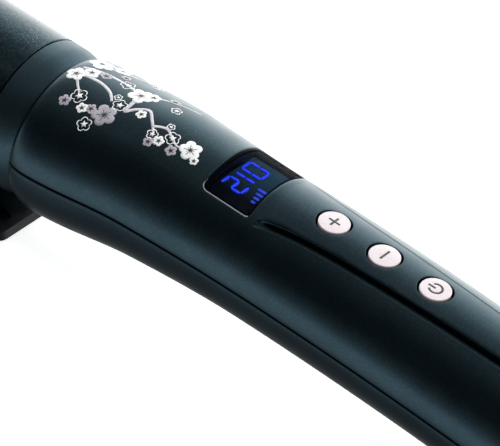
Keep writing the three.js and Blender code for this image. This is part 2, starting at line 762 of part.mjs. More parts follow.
function addLeads(iron) {
  const heater = (side) => [[-27, side * 5, 0], [-15, side * 3, 0], [5, side * 2.5, 0], [24, side * 3, -1]];
  iron.add(part("live_heater_lead", lead(heater(-1)), 0xd9d9d9, 0.6));
  iron.add(part("neutral_heater_lead", lead(heater(1)), 0xd9d9d9, 0.6));
}

const iron = new THREE.Group();
addBarrel(iron);
addHandle(iron);
addDisplay(iron);
addControls(iron);
addPowerSupply(iron);
addClip(iron);
addSwivel(iron);
addLeads(iron);

// The rest pose: the lever's foot and the handle's end stand on z = 0, with the box centred on the origin
iron.rotation.y = REST_TILT;
const curlingIron = new THREE.Group();
curlingIron.add(iron);
curlingIron.updateMatrixWorld(true);
const extent = new THREE.Box3().setFromObject(curlingIron, true);
const centre = extent.getCenter(new THREE.Vector3());
iron.position.set(-centre.x, -centre.y, -extent.min.z);

export default curlingIron;
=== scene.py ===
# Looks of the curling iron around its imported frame: a speckled barrel, a lacquered handle with a printed
# branch of blossoms, a lit display, three buttons, a spring clip underneath and a swivel gland at the end.
# Shapes are built in millimetres in the iron's own frame, +X from the barrel to the handle's end and +Z
# through the display, with x = 0 where the handle meets the ring. The tip's mount places them in the frame.
import json
import math

import bmesh
import bpy
from mathutils import Matrix, Vector


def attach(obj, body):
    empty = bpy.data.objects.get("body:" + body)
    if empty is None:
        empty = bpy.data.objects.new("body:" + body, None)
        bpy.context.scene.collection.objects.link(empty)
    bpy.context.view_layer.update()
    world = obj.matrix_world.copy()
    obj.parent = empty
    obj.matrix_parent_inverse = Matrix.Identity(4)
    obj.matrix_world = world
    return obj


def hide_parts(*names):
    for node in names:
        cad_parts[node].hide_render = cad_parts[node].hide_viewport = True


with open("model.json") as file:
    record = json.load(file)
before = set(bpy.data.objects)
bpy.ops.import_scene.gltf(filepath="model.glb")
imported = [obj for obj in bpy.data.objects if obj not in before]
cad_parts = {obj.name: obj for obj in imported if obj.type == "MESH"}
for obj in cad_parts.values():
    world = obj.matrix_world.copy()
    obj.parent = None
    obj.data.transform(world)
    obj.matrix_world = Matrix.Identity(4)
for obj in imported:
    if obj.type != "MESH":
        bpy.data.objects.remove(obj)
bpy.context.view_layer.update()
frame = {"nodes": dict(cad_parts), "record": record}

# ---- Driving sizes, as in the CAD ----

MM = 0.001
GAP = 0.3
SKIN_INSET = 0.03  # the smooth skins lie this far inside the CAD's, so that nothing stands out of its box

BARREL_RADIUS = 16
BARREL_WALL = 1
BARREL_FRONT = -136
BARREL_REAR = -7.3
NECK_RADIUS = 11
NECK_REAR = 12
TIP_FRONT = -153
TIP_WALL = 1.6
TIP_END_WALL = 3.5
SPIGOT_LENGTH = 8
RING_FRONT = -7
RING_REAR = -0.15

HANDLE_FRONT = 0.15
HANDLE_REAR = 148
FRONT_RADIUS = 16.6
GRIP_RADIUS = 14.8
SHELL_WALL = 3
LIP_LENGTH = 5
LIP_DROP = 1.6
TAPER_START = 4.5
TAPER_END = 55
ARCH_RISE = 3.3
ARCH_PEAK = 55
ARCH_CURVE = 0.00066
ARCH_BLEND = 28
ARCH_STRAIGHT = 105
PARTING_DROP = 1.1
SWIVEL_TILT = math.atan(2 * ARCH_CURVE * (ARCH_STRAIGHT - ARCH_PEAK))

WINDOW_FRONT = 40.7
WINDOW_REAR = 52.1
WINDOW_HALF_WIDTH = 8.7
WINDOW_THICKNESS = 1.0
LCD_TOP = 10.9
LCD_HALF_WIDTH = 7.6

BUTTONS = ("plus", "minus", "power")
BUTTON_RADIUS = 3.15
BUTTON_PITCH = 12.25
BUTTON_DEPTH = 2.9
PANEL_CENTRE = 78.1
PANEL_INSET = 0.1
BOARD_DEPTH = 6.6

PIVOT_X = -14
PIVOT_Z = -20
PIN_RADIUS = 1
CLIP_RADIUS = 16.5
CLIP_SHEET = 0.8
CLIP_FRONT = -133
CLIP_REAR = -23.5
CLIP_HALF_ANGLE = math.radians(52)
CLIP_FLARE = 3.5  # how far the tip turns outward, over the flare's length
CLIP_FLARE_LENGTH = 14
ARM_HALF_WIDTH = 6.2
ARM_END = (-10.8, -20.5)  # where the clip's arm first lies on the lever
BRACKET_FRONT = -21.5
BRACKET_REAR = -11.2
BRACKET_OUTER = 17.3
BRACKET_HALF_ANGLE = math.radians(33)
LEVER_HALF_WIDTH = 11
FOOT_REAR = (-2.4, -25)
FOOT_LENGTH = 6.6
ARM_TILT = math.atan2(1.94, 6.3)
RIVET_PLACES = (-8, -5.5)

CAP_LENGTH = 9
GLAND_LENGTH = 17
CORD_BORE = 3.4
SCREW_PLACES = (30, 122)
SCREW_SINK = 5
SCREW_HEAD = 2.6
SCREW_SHANK = 1.3
PILOT_RADIUS = 1.6
POST_RADIUS = 4.2

# ---- Sizes of what only shows ----

FINE_ROUND = 144  # sides of the large round pieces
SMALL_ROUND = 40
EDGE_ROUND = 0.3  # rounding of the shells' free edges
OPENING_ROUND = 0.3  # rounding of the window's opening and the screw wells
HOLE_ROUND = 0.1  # rounding of the button holes
HOLE_CLEARANCE = 0.5
WINDOW_GAP = 0.12
OPENING_FRONT = 38.5  # where the net of the shell makes way for the window
BUTTON_REACH = 5.5  # and how far on both sides of a button it makes way for the hole
WELL_RADIUS = 3
WELL_REACH = 6
CREASE_DEPTH = 1.9  # on the near side
CREASE_START = 54
CREASE_END = 130
WINDOW_CORNER = 1.3
WINDOW_REAR_CORNER = 0.7
HIGHLIGHT_BEAD_RADIUS = 0.12  # of the bright bead that paints the highlight along the display's front and near edge
BORDER_DEPTH = 0.13
BORDER_LIFT = 0.08

DIGIT_HEIGHT = 4.7
DIGIT_HALF_WIDTH = 1.35
DIGIT_FRONT = -5.0
DIGIT_MIDDLES = (-1.95, 1.2, 4.35)
DIGIT_STROKE = 0.23  # half the width of a stroke
BAR_REAR = 3.6
BAR_LENGTHS = (1.35, 1.7, 2.1, 2.7)
BAR_NEAR = -3.45
BAR_PITCH = 1.28
BAR_STROKE = 0.27
HALO_STROKE = 0.55

CAP_RIM_HEIGHT = -0.16
CAP_CROWN = 0.14
CAP_EDGE = 0.22
ICON_STROKE = 0.23

TIP_NOSE = 8
TIP_FLAT = 9.5
TIP_GROOVES = (-142.5, -140.5, -138.5)
TIP_GROOVE_DEPTH = 0.35
CLIP_TIP_LENGTH = 14.5
CLIP_REAR_CORNER = 8
LEVER_CORNER = 2
SPRING_TURNS = 7
SPRING_LENGTH = 7
SPRING_RADIUS = 1.95
SPRING_WIRE = 0.33
CAP_BORE = 6.2
GLAND_RIBS = 5
RIB_PITCH = 2.3
RIBS_START = 4.6  # behind the gland's collar


def clamp(value, low, high):
    return max(low, min(high, value))


def smoothstep(x, low, high):
    share = clamp((x - low) / (high - low), 0, 1)
    return share * share * (3 - 2 * share)


def lerp(a, b, share):
    return a + (b - a) * share


def spread(low, high, count):
    """count + 1 evenly spaced numbers from low to high."""
    return [lerp(low, high, i / count) for i in range(count + 1)]


def arch_slope(x):
    return -2 * ARCH_CURVE * (x - ARCH_PEAK)


def arch_height(x):
    """Height of the handle's centre line above the barrel's axis."""
    curved = min(x, ARCH_STRAIGHT)
    bow = ARCH_RISE - ARCH_CURVE * (curved - ARCH_PEAK) ** 2
    return bow * smoothstep(x, 0, ARCH_BLEND) + arch_slope(curved) * (x - curved)


def handle_radius(x):
    to_lip = max(0, 1 - x / LIP_LENGTH)
    lip = LIP_DROP * (1 - math.sqrt(1 - to_lip * to_lip))
    return lerp(FRONT_RADIUS, GRIP_RADIUS, smoothstep(x, TAPER_START, TAPER_END)) - lip


# ---- Places in the frame ----

def iron_frame():
    """Turns iron millimetres into the frame's metres."""
    tip = next(m for m in frame["record"]["mounts"] if m["name"] == "tip_face")
    along = -Vector(tip["axis"])
    across = Vector((0, 1, 0))
    turn = Matrix((along, across, along.cross(across))).transposed()
    origin = Vector(tip["pos_m"]) - along * TIP_FRONT * MM
    return Matrix.Translation(origin) @ turn.to_4x4() @ Matrix.Scale(MM, 4)


def tilted(x, z, tilt):
    """A frame at (x, z) on the iron whose X axis dips by tilt."""
    return IRON @ Matrix.Translation((x, 0, z)) @ Matrix.Rotation(tilt, 4, "Y")


IRON = iron_frame()
REST_TILT = math.asin(-IRON.col[0].xyz.normalized().z)
PANEL_TILT = -math.atan(arch_slope(PANEL_CENTRE))
PANEL = tilted(PANEL_CENTRE, arch_height(PANEL_CENTRE) + GRIP_RADIUS - PANEL_INSET, PANEL_TILT)
SWIVEL = tilted(HANDLE_REAR, arch_height(HANDLE_REAR), SWIVEL_TILT)
PIVOT = IRON @ Matrix.Translation((PIVOT_X, 0, PIVOT_Z))
WINDOW_MIDDLE = (WINDOW_FRONT + WINDOW_REAR) / 2
DISPLAY = IRON @ Matrix.Translation((WINDOW_MIDDLE, 0, arch_height(WINDOW_MIDDLE)))


# ---- Mesh helpers ----

def added(name, data):
    """A new object in the scene."""
    obj = bpy.data.objects.new(name, data)
    bpy.context.scene.collection.objects.link(obj)
    return obj


def outward_mesh(name, points, faces):
    """A mesh whose faces all look outward."""
    mesh = bpy.data.meshes.new(name)
    mesh.from_pydata(points, [], faces)
    work = bmesh.new()
    work.from_mesh(mesh)
    bmesh.ops.recalc_face_normals(work, faces=work.faces)
    work.to_mesh(mesh)
    work.free()
    return mesh


def piece(name, shape, material, body, replaces=(), place=IRON):
    """A named mesh of (points, faces), in its place in the frame, riding on a body."""
    points, faces = shape
    mesh = outward_mesh(name, [place @ Vector(p) for p in points], faces)
    mesh.shade_smooth()
    obj = added(name, mesh)
    mesh.materials.append(material)
    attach(obj, body)
    if replaces:
        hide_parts(*replaces)
    return obj


def soften(obj, width, segments=2, angle=28):
    """Rounds the edges that turn by more than angle, and keeps the flats flat."""
    bevel = obj.modifiers.new("bevel", "BEVEL")
    bevel.width = width * MM
    bevel.segments = segments
    bevel.limit_method = "ANGLE"
    bevel.angle_limit = math.radians(angle)
    obj.modifiers.new("normals", "WEIGHTED_NORMAL")
    return obj


def merged(*shapes):
    points, faces = [], []
    for more, rings in shapes:
        start = len(points)
        points += more
        faces += [tuple(i + start for i in face) for face in rings]
    return points, faces


def free_edges(faces):
    """The directed edges that only one face uses."""
    edges = set()
    for face in faces:
        for a, b in zip(face, face[1:] + face[:1]):
            if (b, a) in edges:
                edges.remove((b, a))
            else:
                edges.add((a, b))
    return edges


def walled(outer, inner, faces):
    """Two matching skins closed along their free edges."""
    count = len(outer)
    closed = list(faces)
    closed += [tuple(i + count for i in reversed(face)) for face in faces]
    closed += [(b, a, a + count, b + count) for a, b in sorted(free_edges(faces))]
    return list(outer) + list(inner), closed


def grid_faces(rows, columns):
    cells = []
    for i in range(rows - 1):
        for j in range(columns - 1):
            a = i * columns + j
            cells.append((a, a + 1, a + columns + 1, a + columns))
    return cells


def ring_faces(rings, count, closed=False):
    """The quads between rings of count points each, and from the last ring to the first if closed."""
    faces = []
    for i in range(rings if closed else rings - 1):
        low, high = i * count, (i + 1) % rings * count
        for k in range(count):
            n = (k + 1) % count
            faces.append((low + k, low + n, high + n, high + k))
    return faces


def turned(profile, sides=FINE_ROUND, closed=False):
    """A solid of revolution about X from (x, radius) points, its profile ending on the axis or closed."""
    points, rings, faces = [], [], []
    for x, radius in profile:
        if radius < 1e-6:
            rings.append([len(points)])
            points.append((x, 0, 0))
            continue
        rings.append(list(range(len(points), len(points) + sides)))
        angles = [2 * math.pi * k / sides for k in range(sides)]
        points += [(x, radius * math.cos(a), radius * math.sin(a)) for a in angles]
    pairs = list(zip(rings, rings[1:]))
    if closed:
        pairs.append((rings[-1], rings[0]))
    for low, high in pairs:
        for k in range(sides):
            n = (k + 1) % sides
            if len(low) == 1 and len(high) > 1:
                faces.append((low[0], high[k], high[n]))
            elif len(high) == 1 and len(low) > 1:
                faces.append((low[k], high[0], low[n]))
            elif len(low) > 1:
                faces.append((low[k], high[k], high[n], low[n]))
    return points, faces


def rod(radius, low, high, axis="x", sides=SMALL_ROUND, at=(0, 0, 0)):
    points, faces = turned([(low, 0), (low, radius), (high, radius), (high, 0)], sides)
    order = {"x": (0, 1, 2), "y": (1, 0, 2), "z": (2, 1, 0)}[axis]
    return [tuple(p[order[k]] + at[k] for k in range(3)) for p in points], faces


def prism(outline, half_width, middle=0):
    """An outline in X and Z, drawn out evenly to both sides of y = middle."""
    count = len(outline)
    points = [(x, middle + side * half_width, z) for side in (-1, 1) for x, z in outline]
    faces = [tuple(range(count)), tuple(reversed(range(count, 2 * count)))]
    faces += [(k, (k + 1) % count, (k + 1) % count + count, k + count) for k in range(count)]
    return points, faces


def block(low, high):
    outline = [(low[0], low[2]), (high[0], low[2]), (high[0], high[2]), (low[0], high[2])]
    return prism(outline, (high[1] - low[1]) / 2, (high[1] + low[1]) / 2)


def arc(centre, radius, start, end, count):
    angles = spread(start, end, count)
    return [(centre[0] + radius * math.cos(a), centre[1] + radius * math.sin(a)) for a in angles]


def scratch(shape):
    """A passing object that only serves to cut or join shapes."""
    points, faces = shape
    return added("scratch", outward_mesh("scratch", [Vector(p) for p in points], faces))


def combined(base, steps):
    """base with each (operation, shape) of steps done to it in turn: UNION or DIFFERENCE."""
    obj = scratch(base)
    for operation, shape in steps:
        tool = scratch(shape)
        modifier = obj.modifiers.new("combine", "BOOLEAN")
        modifier.operation = operation
        modifier.solver = "EXACT"
        modifier.object = tool
        done = bpy.data.meshes.new_from_object(obj.evaluated_get(bpy.context.evaluated_depsgraph_get()))
        obj.modifiers.clear()
        obj.data = done
        bpy.data.objects.remove(tool)
    points = [tuple(v.co) for v in obj.data.vertices]
    faces = [tuple(p.vertices) for p in obj.data.polygons]
    bpy.data.objects.remove(obj)
    return points, faces


# ---- Materials ----

def new_material(name, **sockets):
    material = bpy.data.materials.new(name)
    material.use_nodes = True
    shader = material.node_tree.nodes["Principled BSDF"]
    for socket, value in sockets.items():
        shader.inputs[socket.replace("_", " ")].default_value = value
    return material, material.node_tree, shader


def noise(tree, coords, scale, detail=4, stretch=(1, 1, 1)):
    """Noise with about scale features per millimetre."""
    mapping = tree.nodes.new("ShaderNodeMapping")
    mapping.inputs["Scale"].default_value = [scale * k / MM for k in stretch]
    texture = tree.nodes.new("ShaderNodeTexNoise")
    texture.inputs["Scale"].default_value = 1
    texture.inputs["Detail"].default_value = detail
    tree.links.new(coords.outputs["Object"], mapping.inputs["Vector"])
    tree.links.new(mapping.outputs["Vector"], texture.inputs["Vector"])
    return texture.outputs["Fac"]


def ranged(tree, value, low, high, start=0.3, end=0.7):
    node = tree.nodes.new("ShaderNodeMapRange")
    node.inputs["From Min"].default_value = start
    node.inputs["From Max"].default_value = end
    node.inputs["To Min"].default_value = low
    node.inputs["To Max"].default_value = high
    tree.links.new(value, node.inputs["Value"])
    return node.outputs["Result"]


def mixed(tree, share, low, high):
    """A colour between low and high, each a colour or another node's output."""
    node = tree.nodes.new("ShaderNodeMix")
    node.data_type = "RGBA"
    tree.links.new(share, node.inputs["Factor"])
    for socket, colour in (("A", low), ("B", high)):
        target = next(i for i in node.inputs if i.name == socket and i.type == "RGBA")
        if isinstance(colour, bpy.types.NodeSocket):
            tree.links.new(colour, target)
        else:
            target.default_value = (*colour, 1)
    return next(o for o in node.outputs if o.type == "RGBA")


def flakes(tree, coords, size, share, seed=0):
    """Small cells of size millimetres, of which about share are 1 and the rest 0."""
    mapping = tree.nodes.new("ShaderNodeMapping")
    mapping.inputs["Scale"].default_value = [1 / size / MM] * 3
    mapping.inputs["Location"].default_value = [seed] * 3
    cells = tree.nodes.new("ShaderNodeTexVoronoi")
    cells.inputs["Scale"].default_value = 1
    parts = tree.nodes.new("ShaderNodeSeparateColor")
    tree.links.new(coords.outputs["Object"], mapping.inputs["Vector"])
    tree.links.new(mapping.outputs["Vector"], cells.inputs["Vector"])
    tree.links.new(cells.outputs["Color"], parts.inputs["Color"])
    return ranged(tree, parts.outputs["Red"], 0, 1, 1 - share, 1)


def finish_material(name, tones, roughness, scale=0.25, bump=0.01, bump_scale=2.0, stretch=(1, 1, 1),
                    flake=None, **constants):
    """A moulded or coated surface: mottled colour between two tones, uneven gloss and a fine texture.

    bump is the texture's depth in millimetres and flake is (colour, size, share)."""
    material, tree, shader = new_material(name, **constants)
    coords = tree.nodes.new("ShaderNodeTexCoord")
    colour = mixed(tree, ranged(tree, noise(tree, coords, scale, 5), 0, 1), *tones)
    if flake:
        colour = mixed(tree, flakes(tree, coords, flake[1], flake[2]), colour, flake[0])
    tree.links.new(colour, shader.inputs["Base Color"])
    gloss = ranged(tree, noise(tree, coords, scale * 3, 4, stretch), *roughness)
    tree.links.new(gloss, shader.inputs["Roughness"])
    relief = tree.nodes.new("ShaderNodeBump")
    relief.inputs["Strength"].default_value = 1
    relief.inputs["Distance"].default_value = bump * MM
    tree.links.new(noise(tree, coords, bump_scale, 3, stretch), relief.inputs["Height"])
    tree.links.new(relief.outputs["Normal"], shader.inputs["Normal"])
    return material


def resin(name, dark, light, roughness=(0.35, 0.5), **extra):
    return finish_material(name, (dark, light), roughness, **extra)


def metal(name, dark, light, roughness=(0.2, 0.35), **extra):
    return finish_material(name, (dark, light), roughness, Metallic=1.0, **extra)


LACQUER = resin(
    "pearl_lacquer", (0.024, 0.046, 0.058), (0.030, 0.055, 0.068), (0.27, 0.34), Metallic=0.96, scale=0.08,
    bump=0.0012, bump_scale=4, flake=((0.060, 0.095, 0.110), 0.11, 0.16), Coat_Weight=0.08,
    Coat_Roughness=0.18)
LOWER_RESIN = resin(
    "pearl_resin", (0.018, 0.034, 0.043), (0.024, 0.042, 0.052), (0.33, 0.42), Metallic=0.94, scale=0.08,
    bump=0.002, bump_scale=4, flake=((0.045, 0.072, 0.084), 0.11, 0.14))
PEARL = resin(
    "speckled_coating", (0.016, 0.031, 0.038), (0.025, 0.043, 0.052), (0.17, 0.26), Metallic=0.97, scale=0.6,
    bump=0.003, bump_scale=3, flake=((0.13, 0.18, 0.20), 0.12, 0.12), Specular_IOR_Level=0.2)
SLATE = resin(
    "satin_ring", (0.034, 0.062, 0.076), (0.042, 0.072, 0.087), (0.34, 0.42), Metallic=0.94, scale=0.15,
    bump=0.002, bump_scale=3, flake=((0.07, 0.105, 0.12), 0.12, 0.12))
BLACK_RESIN = resin(
    "black_resin", (0.004, 0.005, 0.006), (0.008, 0.010, 0.012), (0.38, 0.52), bump=0.012, bump_scale=3.2,
    Specular_IOR_Level=0.15)
SOFT_BLACK = resin(
    "gland_rubber", (0.007, 0.007, 0.008), (0.014, 0.014, 0.015), (0.5, 0.66), bump=0.015, bump_scale=2.5)
CAP_PINK = resin(
    "button_cap", (0.54, 0.475, 0.495), (0.60, 0.535, 0.555), (0.25, 0.35), bump=0.002, bump_scale=4,
    flake=((0.64, 0.59, 0.61), 0.12, 0.15), Coat_Weight=0.3, Coat_Roughness=0.12)
ICON_INK = resin("icon_ink", (0.03, 0.028, 0.03), (0.06, 0.055, 0.058), (0.4, 0.55), bump=0.004)
PRINT_WHITE = resin(
    "print_white", (0.66, 0.66, 0.665), (0.76, 0.755, 0.755), (0.32, 0.45), bump=0.004, bump_scale=5)
PRINT_LILAC = resin(
    "print_lilac", (0.27, 0.25, 0.285), (0.36, 0.34, 0.375), (0.32, 0.45), bump=0.004, bump_scale=5)
PRINT_TWIG = resin(
    "print_twig", (0.42, 0.41, 0.44), (0.56, 0.55, 0.575), (0.32, 0.45), bump=0.004, bump_scale=5, scale=0.5)
PRINT_DARK = resin("print_dark", (0.012, 0.016, 0.02), (0.022, 0.028, 0.034), (0.35, 0.5), bump=0.003)
WINDOW_GLOSS = resin(
    "window_gloss", (0.0015, 0.002, 0.003), (0.003, 0.004, 0.006), (0.05, 0.09), bump=0.0002, scale=0.1,
    Alpha=0.3, IOR=1.1, Specular_IOR_Level=0.2)
# near-black band round the display cover: painted shade of the recess's inner wall
SHADE_BAND_BLACK = resin(
    "painted_shade_black", (0.0008, 0.0011, 0.0016), (0.0014, 0.0019, 0.0026), (0.3, 0.4), bump=0.0004, IOR=1.08,
    Specular_IOR_Level=0.1)
# silver of the bead that stands in for a painted highlight on the window's edge
HIGHLIGHT_SILVER = metal("painted_highlight_silver", (0.52, 0.56, 0.58), (0.62, 0.66, 0.68), (0.3, 0.4), bump=0.002)
STEEL = metal("steel", (0.50, 0.51, 0.53), (0.62, 0.63, 0.65), (0.22, 0.38), bump=0.004, stretch=(1, 6, 1))
SPRING_STEEL = metal("spring_steel", (0.32, 0.33, 0.35), (0.46, 0.47, 0.49), (0.25, 0.4), bump=0.004)
ALUMINIUM = metal(
    "aluminium", (0.68, 0.69, 0.70), (0.78, 0.79, 0.80), (0.3, 0.45), bump=0.006, stretch=(0.2, 3, 3))
BRASS = metal("brass", (0.60, 0.42, 0.16), (0.72, 0.52, 0.22), (0.2, 0.36), bump=0.004)
CERAMIC = resin("ceramic", (0.70, 0.66, 0.58), (0.80, 0.76, 0.68), (0.55, 0.75), bump=0.02)
BOARD_GREEN = resin(
    "circuit_board", (0.01, 0.07, 0.03), (0.02, 0.11, 0.045), (0.3, 0.45), bump=0.01, scale=0.8)
CAPACITOR_FILM = resin("capacitor_film", (0.62, 0.42, 0.04), (0.72, 0.52, 0.08), (0.3, 0.4), bump=0.006)
CAPACITOR_CAN = resin("capacitor_can", (0.012, 0.022, 0.075), (0.02, 0.032, 0.11), (0.25, 0.4), bump=0.004)
SWITCH_RESIN = resin("switch_resin", (0.012, 0.012, 0.013), (0.03, 0.03, 0.032), (0.4, 0.6), bump=0.008)
SENSOR_GLASS = resin("sensor_glass", (0.22, 0.02, 0.012), (0.34, 0.04, 0.02), (0.08, 0.16), bump=0.002)
CLEAR_RESIN = resin("clear_resin", (0.70, 0.76, 0.86), (0.82, 0.87, 0.94), (0.15, 0.28), bump=0.003)
LEAD_SLEEVE = resin(
    "lead_sleeve", (0.62, 0.61, 0.58), (0.74, 0.73, 0.70), (0.5, 0.7), bump=0.03, bump_scale=4)


def lcd_material():
    """Dark blue glass that glows a little more towards its far side: a painted reflection of the bright far
    side.
    """
    material, tree, shader = new_material("lcd_glass", Specular_IOR_Level=0.05)
    coords = tree.nodes.new("ShaderNodeTexCoord")
    parts = tree.nodes.new("ShaderNodeSeparateXYZ")
    tree.links.new(coords.outputs["Object"], parts.inputs["Vector"])
    # the glow rises across the glass towards the far side: painted reflection
    across = ranged(tree, parts.outputs["Y"], 0, 1, -4 * MM, LCD_HALF_WIDTH * MM)
    lit = mixed(tree, across, (0.0, 0.001, 0.004), (0.018, 0.055, 0.095))
    grain = ranged(tree, noise(tree, coords, 3, 2), 0.45, 0.6)
    tree.links.new(lit, shader.inputs["Base Color"])
    tree.links.new(lit, shader.inputs["Emission Color"])
    tree.links.new(grain, shader.inputs["Roughness"])
    shader.inputs["Emission Strength"].default_value = 1
    return material


def glow_material(name, colour, strength):
    """A lit segment, its light slightly uneven."""
    material, tree, shader = new_material(name)
    coords = tree.nodes.new("ShaderNodeTexCoord")
    uneven = ranged(tree, noise(tree, coords, 1.2, 2), 0, 1)
    lit = mixed(tree, uneven, [k * 0.8 for k in colour], colour)
    tree.links.new(lit, shader.inputs["Base Color"])
    tree.links.new(lit, shader.inputs["Emission Color"])
    tree.links.new(ranged(tree, uneven, 0.3, 0.4, 0, 1), shader.inputs["Roughness"])
    shader.inputs["Emission Strength"].default_value = strength
    return material


LCD = lcd_material()
DIGIT_GLOW = glow_material("digit_glow", (0.016, 0.042, 1.0), 2.2)
BAR_GLOW = glow_material("bar_glow", (0.035, 0.08, 0.8), 1.2)
# faint glow round the lit digits and bars: painted light spill
HALO_GLOW = glow_material("halo_glow", (0.004, 0.012, 0.20), 0.9)


# ---- The handle's surface ----

def lean(x):
    """How far a point moves back per millimetre of height, to keep the end face square to the swivel."""
    return math.tan(SWIVEL_TILT) * smoothstep(x, ARCH_STRAIGHT, HANDLE_REAR)


def on_handle(x, s, sink=0.0):
    """The point sink below the handle's round form, s along its girth from the top towards the near side."""
    radius = handle_radius(x)
    angle = s / radius
    depth = sink + SKIN_INSET
    height = (radius - depth) * math.cos(angle)
    return (x + lean(x) * height, -(radius - depth) * math.sin(angle), arch_height(x) + height)


def parting_girth(x):
    """Girth from the top down to the parting gap's upper edge."""
    drop = PARTING_DROP * smoothstep(x, TAPER_START, TAPER_END) - GAP / 2
    return handle_radius(x) * (math.pi / 2 + math.asin(drop / handle_radius(x)))


def crease_girth(x):
    near_window = max(x, 50)
    return 6.2 - 0.035 * (near_window - 78) + 2.2 * math.exp(-(near_window - 53) / 7)


def crease_width(x):
    return 1.35 + 0.003 * (max(x, 60) - 60)


def crease_strength(x):
    return smoothstep(x, CREASE_START, CREASE_START + 3.5) * (1 - smoothstep(x, CREASE_END, HANDLE_REAR - 6))


def relief(x, s):
    """Depth of the upper shell below its round form: the sunken panel, and beside it a deep crease on the
    near side and a fine step on the far side."""
    width = crease_width(x)
    past = abs(s) - crease_girth(x)
    panel = PANEL_INSET * smoothstep(x, WINDOW_REAR + 0.6, WINDOW_REAR + 2.2)
    panel *= 1 - smoothstep(x, CREASE_END, HANDLE_REAR - 6)
    if s > 0:
        wall = lerp(panel, CREASE_DEPTH, smoothstep(past, -0.3, 0.2))
        depth = wall * (1 - smoothstep(past, 0.84 * width, 1.06 * width))
    else:
        depth = panel * (1 - smoothstep(past, -0.3, 0.1))
    return lerp(0 if past > 0 else panel * (1 - smoothstep(past, -1, 0)), depth, crease_strength(x))


def edge_sink(distance):
    """Rounds a free edge: how far the skin drops at that distance from it."""
    share = clamp(1 - distance / EDGE_ROUND, 0, 1)
    return EDGE_ROUND * (1 - math.sqrt(1 - share * share))


def rounded_place(u, v, half_x, half_s, corner):
    """A point of the unit square moved onto a rectangle with round corners."""
    reach = max(abs(u), abs(v))
    radius = corner * reach ** 3
    x, s = u * half_x, v * half_s
    core_x, core_s = half_x * reach - radius, half_s * reach - radius
    off_x, off_s = x - clamp(x, -core_x, core_x), s - clamp(s, -core_s, core_s)
    if off_x == 0 or off_s == 0:
        return x, s
    scale = radius / math.hypot(off_x, off_s)
    return x - off_x + off_x * scale, s - off_s + off_s * scale


def window_outline(u, v, grow):
    """The window's edge, moved out by grow, in the direction (u, v) of the unit square."""
    girth = handle_radius(WINDOW_MIDDLE) * math.asin(WINDOW_HALF_WIDTH / handle_radius(WINDOW_MIDDLE))
    half_x = (WINDOW_REAR - WINDOW_FRONT) / 2 + grow
    corner = WINDOW_CORNER if u < 0 else WINDOW_REAR_CORNER
    x, s = rounded_place(u, v, half_x, girth + grow, corner + grow)
    return WINDOW_MIDDLE + x, s


def round_outline(centre, radius):
    """The like for a round hole on the top or bottom line."""
    def outline(u, v, grow):
        scale = (radius + grow) / math.hypot(u, v)
        return centre + u * scale, v * scale
    return outline


def button_offset(index):
    return (index - 1) * BUTTON_PITCH


def opening_rings(loop, outline, steps, edge):
    """Rings of (x, s, sink) from a loop of ((x, s), (u, v)) in to an opening's edge, rounded by edge."""
    rings = []
    for share in spread(0, 1, steps)[1:]:
        ring = []
        for (x, s), (u, v) in loop:
            to_x, to_s = outline(u, v, edge)
            ring.append((lerp(x, to_x, share), lerp(s, to_s, share), 0))
        rings.append(ring)
    for turn in spread(0, math.pi / 2, 4)[1:]:
        grow = edge * (1 - math.sin(turn))
        sink = edge * (1 - math.cos(turn))
        rings.append([(*outline(u, v, grow), sink) for _, (u, v) in loop])
    return rings


def skin_net(stations, columns_at, openings):
    """A net of (x, s, sink) places with openings.

    Each opening is (first station, last, first column, last, outline, steps, edge rounding)."""
    columns = len(columns_at(stations[0]))
    places = [(x, s, 0) for x in stations for s in columns_at(x)]
    cells = {}
    for i in range(len(stations) - 1):
        for j in range(columns - 1):
            a = i * columns + j
            cells[i, j] = (a, a + 1, a + columns + 1, a + columns)
    faces = []
    for first, last, low, high, outline, steps, edge in openings:
        for i in range(first, last):
            for j in range(low, high):
                cells.pop((i, j))
        walk = [(first, j) for j in range(low, high)] + [(i, high) for i in range(first, last)]
        walk += [(last, j) for j in range(high, low, -1)] + [(i, low) for i in range(last, first, -1)]
        loop = []
        for i, j in walk:
            u = 2 * (i - first) / (last - first) - 1
            v = 2 * (j - low) / (high - low) - 1
            loop.append((places[i * columns + j][:2], (u, v)))
        ids = [i * columns + j for i, j in walk]
        for ring in opening_rings(loop, outline, steps, edge):
            start = len(places)
            places += ring
            fresh = list(range(start, start + len(ring)))
            for k in range(len(ids)):
                n = (k + 1) % len(ids)
                faces.append((ids[k], ids[n], fresh[n], fresh[k]))
            ids = fresh
    return places, list(cells.values()) + faces


def stations_between(*stops):
    """Stations from (place, divisions up to the next place) pairs, with the index of each place."""
    stations, index = [], {}
    for (place, count), (following, _) in zip(stops, stops[1:]):
        index[place] = len(stations)
        stations += spread(place, following, count)[:-1]
    index[stops[-1][0]] = len(stations)
    return stations + [stops[-1][0]], index


def lip_stations():
    """Close stations over the handle's rounded front edge."""
    return [HANDLE_FRONT + (TAPER_START - HANDLE_FRONT) * share ** 2 for share in spread(0, 1, 14)]


def end_sink(x):
    return edge_sink(HANDLE_REAR - x)


def shell_stations(*stops):
    """The lip's close stations and those between the stops, with the index of each stop."""
    stations, index = stations_between(*stops)
    lip = lip_stations()[:-1]
    return lip + stations, {place: at + len(lip) for place, at in index.items()}


def upper_columns(x):
    """Girth from the top out to both parting edges, close together at the creases."""
    crease, width, limit = crease_girth(x), crease_width(x), parting_girth(x)
    half = spread(0, crease - 0.32, 7)[1:] + [crease - k for k in (0.22, 0.12, 0)]
    shares = (0.05, 0.1, 0.15, 0.5, 0.82, 0.88, 0.92, 0.96, 1, 1.04, 1.08, 1.14)
    half += [crease + width * share for share in shares]
    half += spread(half[-1], limit - EDGE_ROUND, 16)[1:]
    half += [limit - EDGE_ROUND * k for k in (0.6, 0.3, 0.1, 0)]
    return [-s for s in reversed(half)] + [0] + half


